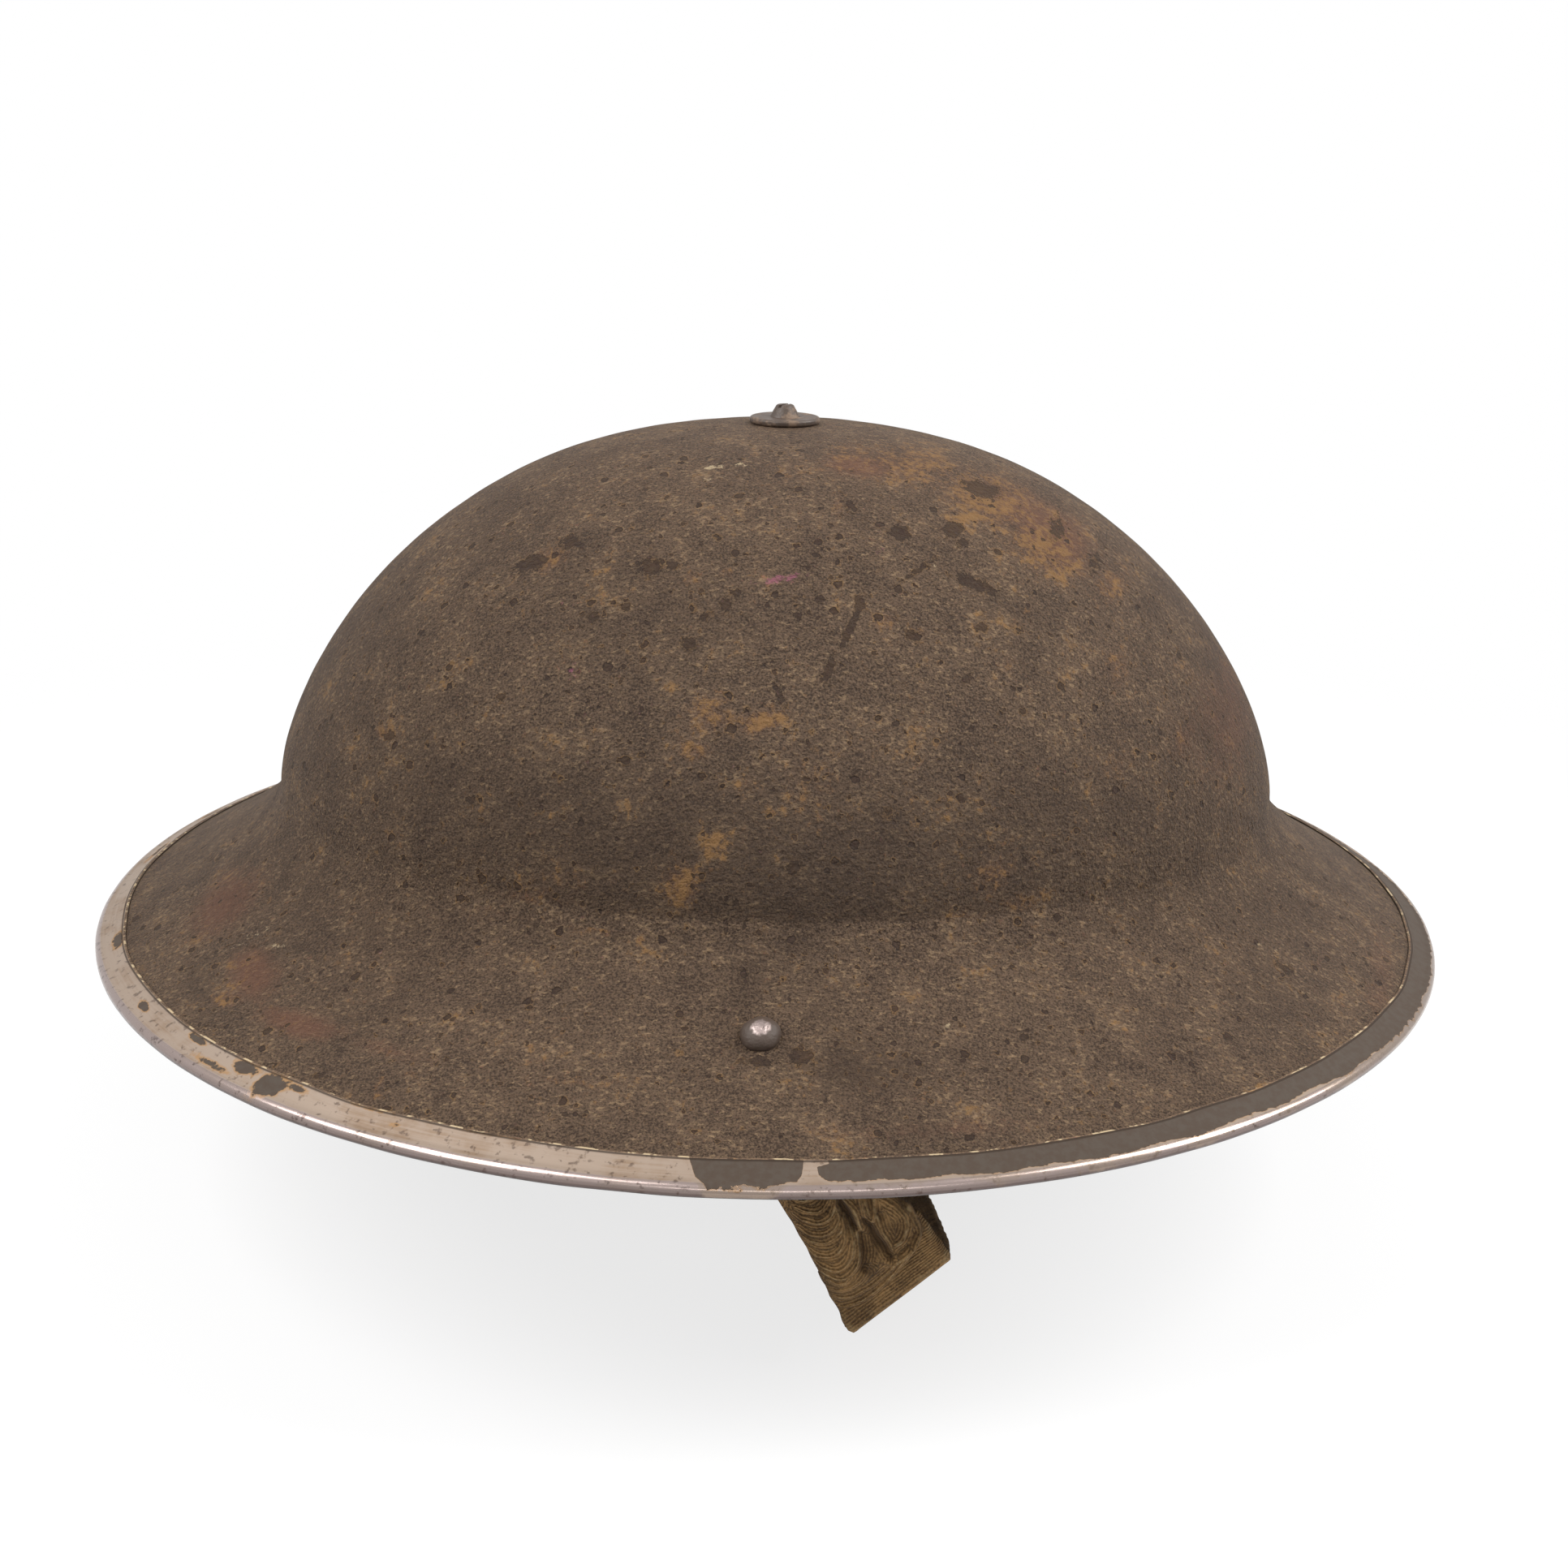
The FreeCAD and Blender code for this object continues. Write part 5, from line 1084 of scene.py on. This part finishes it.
def strap_finish():
    """Khaki cotton webbing: fine ribs across the run, threads rubbed pale on the ridges.

    Ribs are 0.6 mm apart, drawn a little coarser than the real 0.5 mm so that they show; the
    hollows between the pleats are darkened, partly grease and partly painted shade; ochre stains
    of a few millimetres.
    """
    c = colours()
    material, node, shader, coordinates = finish_of("khaki_cotton_webbing")
    place = coordinates["Object"]
    grime_and_shade, rub, rib = (node("mark", attribute_name=name) for name in ("grime_and_shade", "rubbed", "rib"))
    turn = node("multiply", rib, 2 * math.pi * MM / sizes().web_rib)
    wobble = node("multiply", node("noise", place, 1 / (3 * MM), 3.0, 0.55), 7.0)
    run_across = node("separate place", coordinates["UV"])[0]
    ribs, cross = (node("multiply add", node("sine", phase, 0.0), 0.5, 0.5) for phase in (
        node("add", turn, wobble), node("multiply", run_across, 2 * math.pi / (0.7 * MM))))
    thread = node("noise", place, 1 / (0.5 * MM), 2.0, 0.55)
    worn = node("noise", place, 1 / (1.8 * MM), 3.0, 0.55)
    stain = node("noise", place, 1 / (6 * MM), 4.0, 0.65)
    tone = node("multiply add", ribs, 0.12, node("multiply", stain, 0.55))
    tone = node("multiply add", thread, 0.38, tone)
    base = node("mix", node("smooth", tone, 0.35, 0.72), c.cloth_dark, c.cloth)
    # Partly grease and partly painted shade: the pleats' hollows and the sleeves' backs are darkened.
    base = node("mix", node("multiply", grime_and_shade, 0.6), base, c.cloth_dark)
    base = coats(node, base, ((stain, 0.58, 0.74, 0.45, c.ochre),))
    rubbed = node("multiply", rub, node("smooth", worn, 0.45, 0.65, 0.05, 0.75))
    height = node("multiply add", thread, 0.8, node("multiply add", cross, 0.35, ribs))
    give(shader, {"Base Color": node("mix", rubbed, base, c.cloth_light), "Roughness": 0.92,
                  "Specular IOR Level": 0.2, "Sheen Weight": 0.03, "Sheen Roughness": 0.5,
                  "Normal": node("bump", height, 0.8, 0.22 * MM)})
    return material


def soft_finish(name, tint, second, size, roughness, depth, sheen=0.0):
    """Cloth, fibre, oilcloth or rubber: two tones at this size, with a fine grain on top."""
    material, node, shader, coordinates = finish_of(name)
    cloud = node("noise", coordinates["Object"], 1 / (size * 8), 4.0, 0.6)
    grain = node("noise", coordinates["Object"], 1 / size, 3.0, 0.55)
    mixed = node("multiply add", cloud, 0.6, node("multiply", grain, 0.4))
    give(shader, {"Base Color": node("mix", node("smooth", mixed, 0.36, 0.66), tint, second),
                  "Roughness": node("smooth", cloud, 0.3, 0.7, roughness - 0.08, roughness + 0.08),
                  "Sheen Weight": sheen, "Normal": node("bump", node("add", cloud, grain), 0.6, depth)})
    return material


def dress(nodes, material):
    """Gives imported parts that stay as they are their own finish."""
    for node in nodes:
        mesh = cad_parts[node].data
        mesh.materials.clear()
        mesh.materials.append(material)


# ---------------------------------------------------------------- stage


CAMERA_PLACE = (1.89, -446.04, 162.20)
CAMERA_DOWN = 18.374           # degrees that the camera looks down
CAMERA_ROLL = 1.122            # degrees that it leans
CAMERA_LENS = 46.21            # millimetres on a 36 mm frame
FLOOR_Z = -74.0
FLOOR_WHITENING = 0.77         # share of the floor's look that is plain white, the rest keeps the shadow
FLOOR_FADE = (0.22, 0.5)       # metres from the middle over which the floor fades into the room
ROOM_LIGHT = 0.36
# Each lamp's place and the point that it faces, in metres, its width and depth, and its watts.
LAMPS = {
    "lamp_above_left": ((-0.75, -0.35, 1.0), (0, 0, 0.03), (0.8, 0.8), 17.0),
    "lamp_front": ((0.1, -1.3, 0.75), (0, -0.1, 0), (1.0, 0.10), 2.2),
    "lamp_above_right": ((0.95, -0.1, 0.9), (0, 0, 0.03), (0.6, 0.8), 19.0),
}


def make_camera():
    """The photograph's camera: level but for a lean, looking down at the near side."""
    data = bpy.data.cameras.new("camera")
    data.lens = CAMERA_LENS
    data.sensor_width = 36.0
    data.sensor_fit = "HORIZONTAL"
    data.clip_start = 0.01
    camera = bpy.data.objects.new("camera", data)
    bpy.context.collection.objects.link(camera)
    look = math.radians(CAMERA_DOWN)
    forward = Vector((0, math.cos(look), -math.sin(look)))
    right, up = Vector((1, 0, 0)), Vector((0, math.sin(look), math.cos(look)))
    lean = math.radians(CAMERA_ROLL)
    right, up = (right * math.cos(lean) + up * math.sin(lean),
                 up * math.cos(lean) - right * math.sin(lean))
    turn = Matrix((right, up, -forward)).transposed()
    camera.matrix_world = Matrix.Translation(Vector(CAMERA_PLACE) * MM) @ turn.to_4x4()
    bpy.context.scene.camera = camera


def make_lamp(name, place, aim, size, power):
    """A rectangular soft lamp at a place, turned to face a point."""
    data = bpy.data.lights.new(name, "AREA")
    data.shape = "RECTANGLE"
    data.size, data.size_y = size
    data.energy = power
    lamp = bpy.data.objects.new(name, data)
    bpy.context.collection.objects.link(lamp)
    lamp.location = place
    lamp.rotation_euler = (Vector(aim) - Vector(place)).to_track_quat("-Z", "Y").to_euler()


def make_world():
    """A soft white room: it lights the object evenly and shows white behind it."""
    world = bpy.data.worlds.new("soft_room")
    bpy.context.scene.world = world
    world.use_nodes = True
    world.node_tree.nodes.clear()
    node = partial(add, world.node_tree)
    seen = node("light path")
    shown = node("maximum", seen["Is Camera Ray"], seen["Is Glossy Ray"])
    shown = node("maximum", shown, seen["Is Transmission Ray"])
    light, white = (node("background", linear("#ffffff"), strength) for strength in (ROOM_LIGHT, 1.0))
    node("world", node("mix shaders", shown, light, white))


def floor_finish():
    """Matt pale board that fades into the white room at its edge and doesn't show from below."""
    material, node, shader, coordinates = finish_of("pale_floor")
    give(shader, {"Base Color": colours().floor, "Roughness": 0.9, "Specular IOR Level": 0.0})
    seen = node("light path")
    soften = node("multiply", seen["Is Camera Ray"], FLOOR_WHITENING)
    glow = node("emission", linear("#ffffff"), 1.0)
    board = node("mix shaders", soften, shader.outputs[0], glow)
    fade = node("smooth", node("length", coordinates["Object"]), *FLOOR_FADE)
    below = node("multiply", node("geometry")["Backfacing"], seen["Is Camera Ray"])
    fade = node("maximum", fade, below)
    give(material.node_tree.nodes["Material Output"],
         {"Surface": node("mix shaders", fade, board, node("clear"))})
    return material


def floor_piece():
    """The floor: a flat disc of rings, from its edge almost to its middle."""
    rings = np.linspace(1, 0.0005, 12)[:, None] * sizes().floor_radius / MM
    angle = full_turn(96)[None, :]
    points = np.stack(np.broadcast_arrays(rings * np.cos(angle), rings * np.sin(angle),
                                          np.full((1, 1), FLOOR_Z)), -1)
    return surface("floor", [{"points": points}], closed=False)


# ---------------------------------------------------------------- operators


def seat(piece, material, body, node):
    """Gives a finished piece its material and tells the frame where it belongs."""
    piece.data.materials.append(material)
    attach(piece, body)
    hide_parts(node)


class HELMET_OT_stage(Operator):
    """Makes the camera, the soft light and the pale floor"""
    bl_idname = "helmet.stage"
    bl_label = "Stage"

    def execute(self, context):
        make_camera()
        make_world()
        for name, settings in LAMPS.items():
            make_lamp(name, *settings)
        context.scene.view_settings.view_transform = "Standard"
        floor = floor_piece()
        floor.data.materials.append(floor_finish())
        return {"FINISHED"}


class HELMET_OT_bowl(Operator):
    """Makes the pressed steel bowl with its sanded paint"""
    bl_idname = "helmet.bowl"
    bl_label = "Bowl"

    def execute(self, context):
        seat(bowl_piece(), sanded_paint(), "helmet", "shell")
        return {"FINISHED"}


class HELMET_OT_rim_band(Operator):
    """Makes the folded steel band round the brim's edge, with its flaked paint"""
    bl_idname = "helmet.rim_band"
    bl_label = "Rim band"

    def execute(self, context):
        seat(band_piece(), band_finish(), "helmet", "rim_band")
        return {"FINISHED"}


class HELMET_OT_rivets(Operator):
    """Makes the two struck rivets that hold the strap lugs"""
    bl_idname = "helmet.rivets"
    bl_label = "Lug rivets"

    def execute(self, context):
        rivets = surface("lug_rivets_struck", rivet_grids())
        seat(rivets, rivet_finish(), "helmet", "lug_rivets")
        return {"FINISHED"}


class HELMET_OT_chin_strap(Operator):
    """Makes the webbing chin strap and its two gathered sleeves"""
    bl_idname = "helmet.chin_strap"
    bl_label = "Chin strap"

    def execute(self, context):
        cloth = strap_finish()
        grid, length = web_grid()
        web = surface("strap_web", [grid])
        seat(web, cloth, "chinstrap", "strap_webbing")
        for side, lean, mirrored in (("right", LEAN_RIGHT, False), ("left", LEAN_LEFT, True)):
            sleeve = surface("sleeve_gathered_" + side, sleeve_grids(lean, mirrored))
            seat(sleeve, cloth, "chinstrap", "sleeve_" + side)
        return {"FINISHED"}


class HELMET_OT_liner(Operator):
    """Makes the oilcloth sweatband and the felt crown pad, and finishes the rest of the liner"""
    bl_idname = "helmet.liner"
    bl_label = "Liner"

    def execute(self, context):
        c = colours()
        sweatband = surface("sweatband_oilcloth", [sweatband_grid()])
        oilcloth = soft_finish("black_oilcloth", c.oilcloth, c.oilcloth_worn, 1.2 * MM, 0.42, 0.2 * MM)
        seat(sweatband, oilcloth, "helmet", "sweatband")
        pad = surface("crown_pad_felt", [crown_pad_grid()])
        felt = soft_finish("wool_felt", c.pad, c.pad_worn, 1.0 * MM, 0.95, 0.4 * MM, 0.2)
        seat(pad, felt, "helmet", "crown_pad")
        dress(("headband", "crown_strap_long", "crown_strap_cross"),
              soft_finish("varnished_fibre", c.fibre, c.fibre_worn, 0.8 * MM, 0.55, 0.12 * MM))
        dress(("buffer_front_left", "buffer_rear_left", "buffer_rear_right", "buffer_front_right", "crown_spacer"),
              soft_finish("black_rubber", c.rubber, c.rubber_worn, 0.9 * MM, 0.75, 0.1 * MM))
        return {"FINISHED"}


class HELMET_OT_fittings(Operator):
    """Finishes the steel fittings: crown screw, lugs, bails, hooks, rivets and springs"""
    bl_idname = "helmet.fittings"
    bl_label = "Fittings"

    def execute(self, context):
        c = colours()
        dress(("crown_screw", "crown_washer"),
              fitting_finish("painted_steel_fitting", c.paint_dark, c.paint, 0.50, 0.55, 0.1))
        dress(("crown_plate", "crown_nut", "liner_rivets", "buffer_rivets", "lug_right", "lug_left", "bail_right",
               "bail_left", "hook_right", "hook_left", "strap_rivet_right", "strap_rivet_left", "springs_right",
               "springs_left"), fitting_finish("dull_plated_steel", c.fitting, c.tarnish, 0.50, 0.45))
        return {"FINISHED"}


class HELMET_PT_panel(Panel):
    """Lists the helmet's pieces and their sizes and colours"""
    bl_label = "Helmet"
    bl_space_type = "VIEW_3D"
    bl_region_type = "UI"
    bl_category = "Helmet"

    def draw(self, context):
        for operator in STEPS:
            self.layout.operator(operator.bl_idname, text=operator.bl_label)
        for settings in (context.scene.helmet_sizes, context.scene.helmet_colours):
            for name in settings.__annotations__:
                self.layout.prop(settings, name)


STEPS = (HELMET_OT_stage, HELMET_OT_bowl, HELMET_OT_rim_band, HELMET_OT_rivets, HELMET_OT_fittings,
         HELMET_OT_liner, HELMET_OT_chin_strap)
CLASSES = (HelmetSizes, HelmetColours) + STEPS + (HELMET_PT_panel,)


def register():
    """Registers the classes and gives each scene its sizes and colours."""
    for made in CLASSES:
        bpy.utils.register_class(made)
    bpy.types.Scene.helmet_sizes = PointerProperty(type=HelmetSizes)
    bpy.types.Scene.helmet_colours = PointerProperty(type=HelmetColours)


def unregister():
    """Takes them away again."""
    del bpy.types.Scene.helmet_colours
    del bpy.types.Scene.helmet_sizes
    for made in reversed(CLASSES):
        bpy.utils.unregister_class(made)


def main():
    """Makes the stage and every piece."""
    register()
    bpy.ops.helmet.stage()
    bpy.ops.helmet.bowl()
    bpy.ops.helmet.rim_band()
    bpy.ops.helmet.rivets()
    bpy.ops.helmet.fittings()
    bpy.ops.helmet.liner()
    bpy.ops.helmet.chin_strap()


if __name__ == "__main__":
    main()
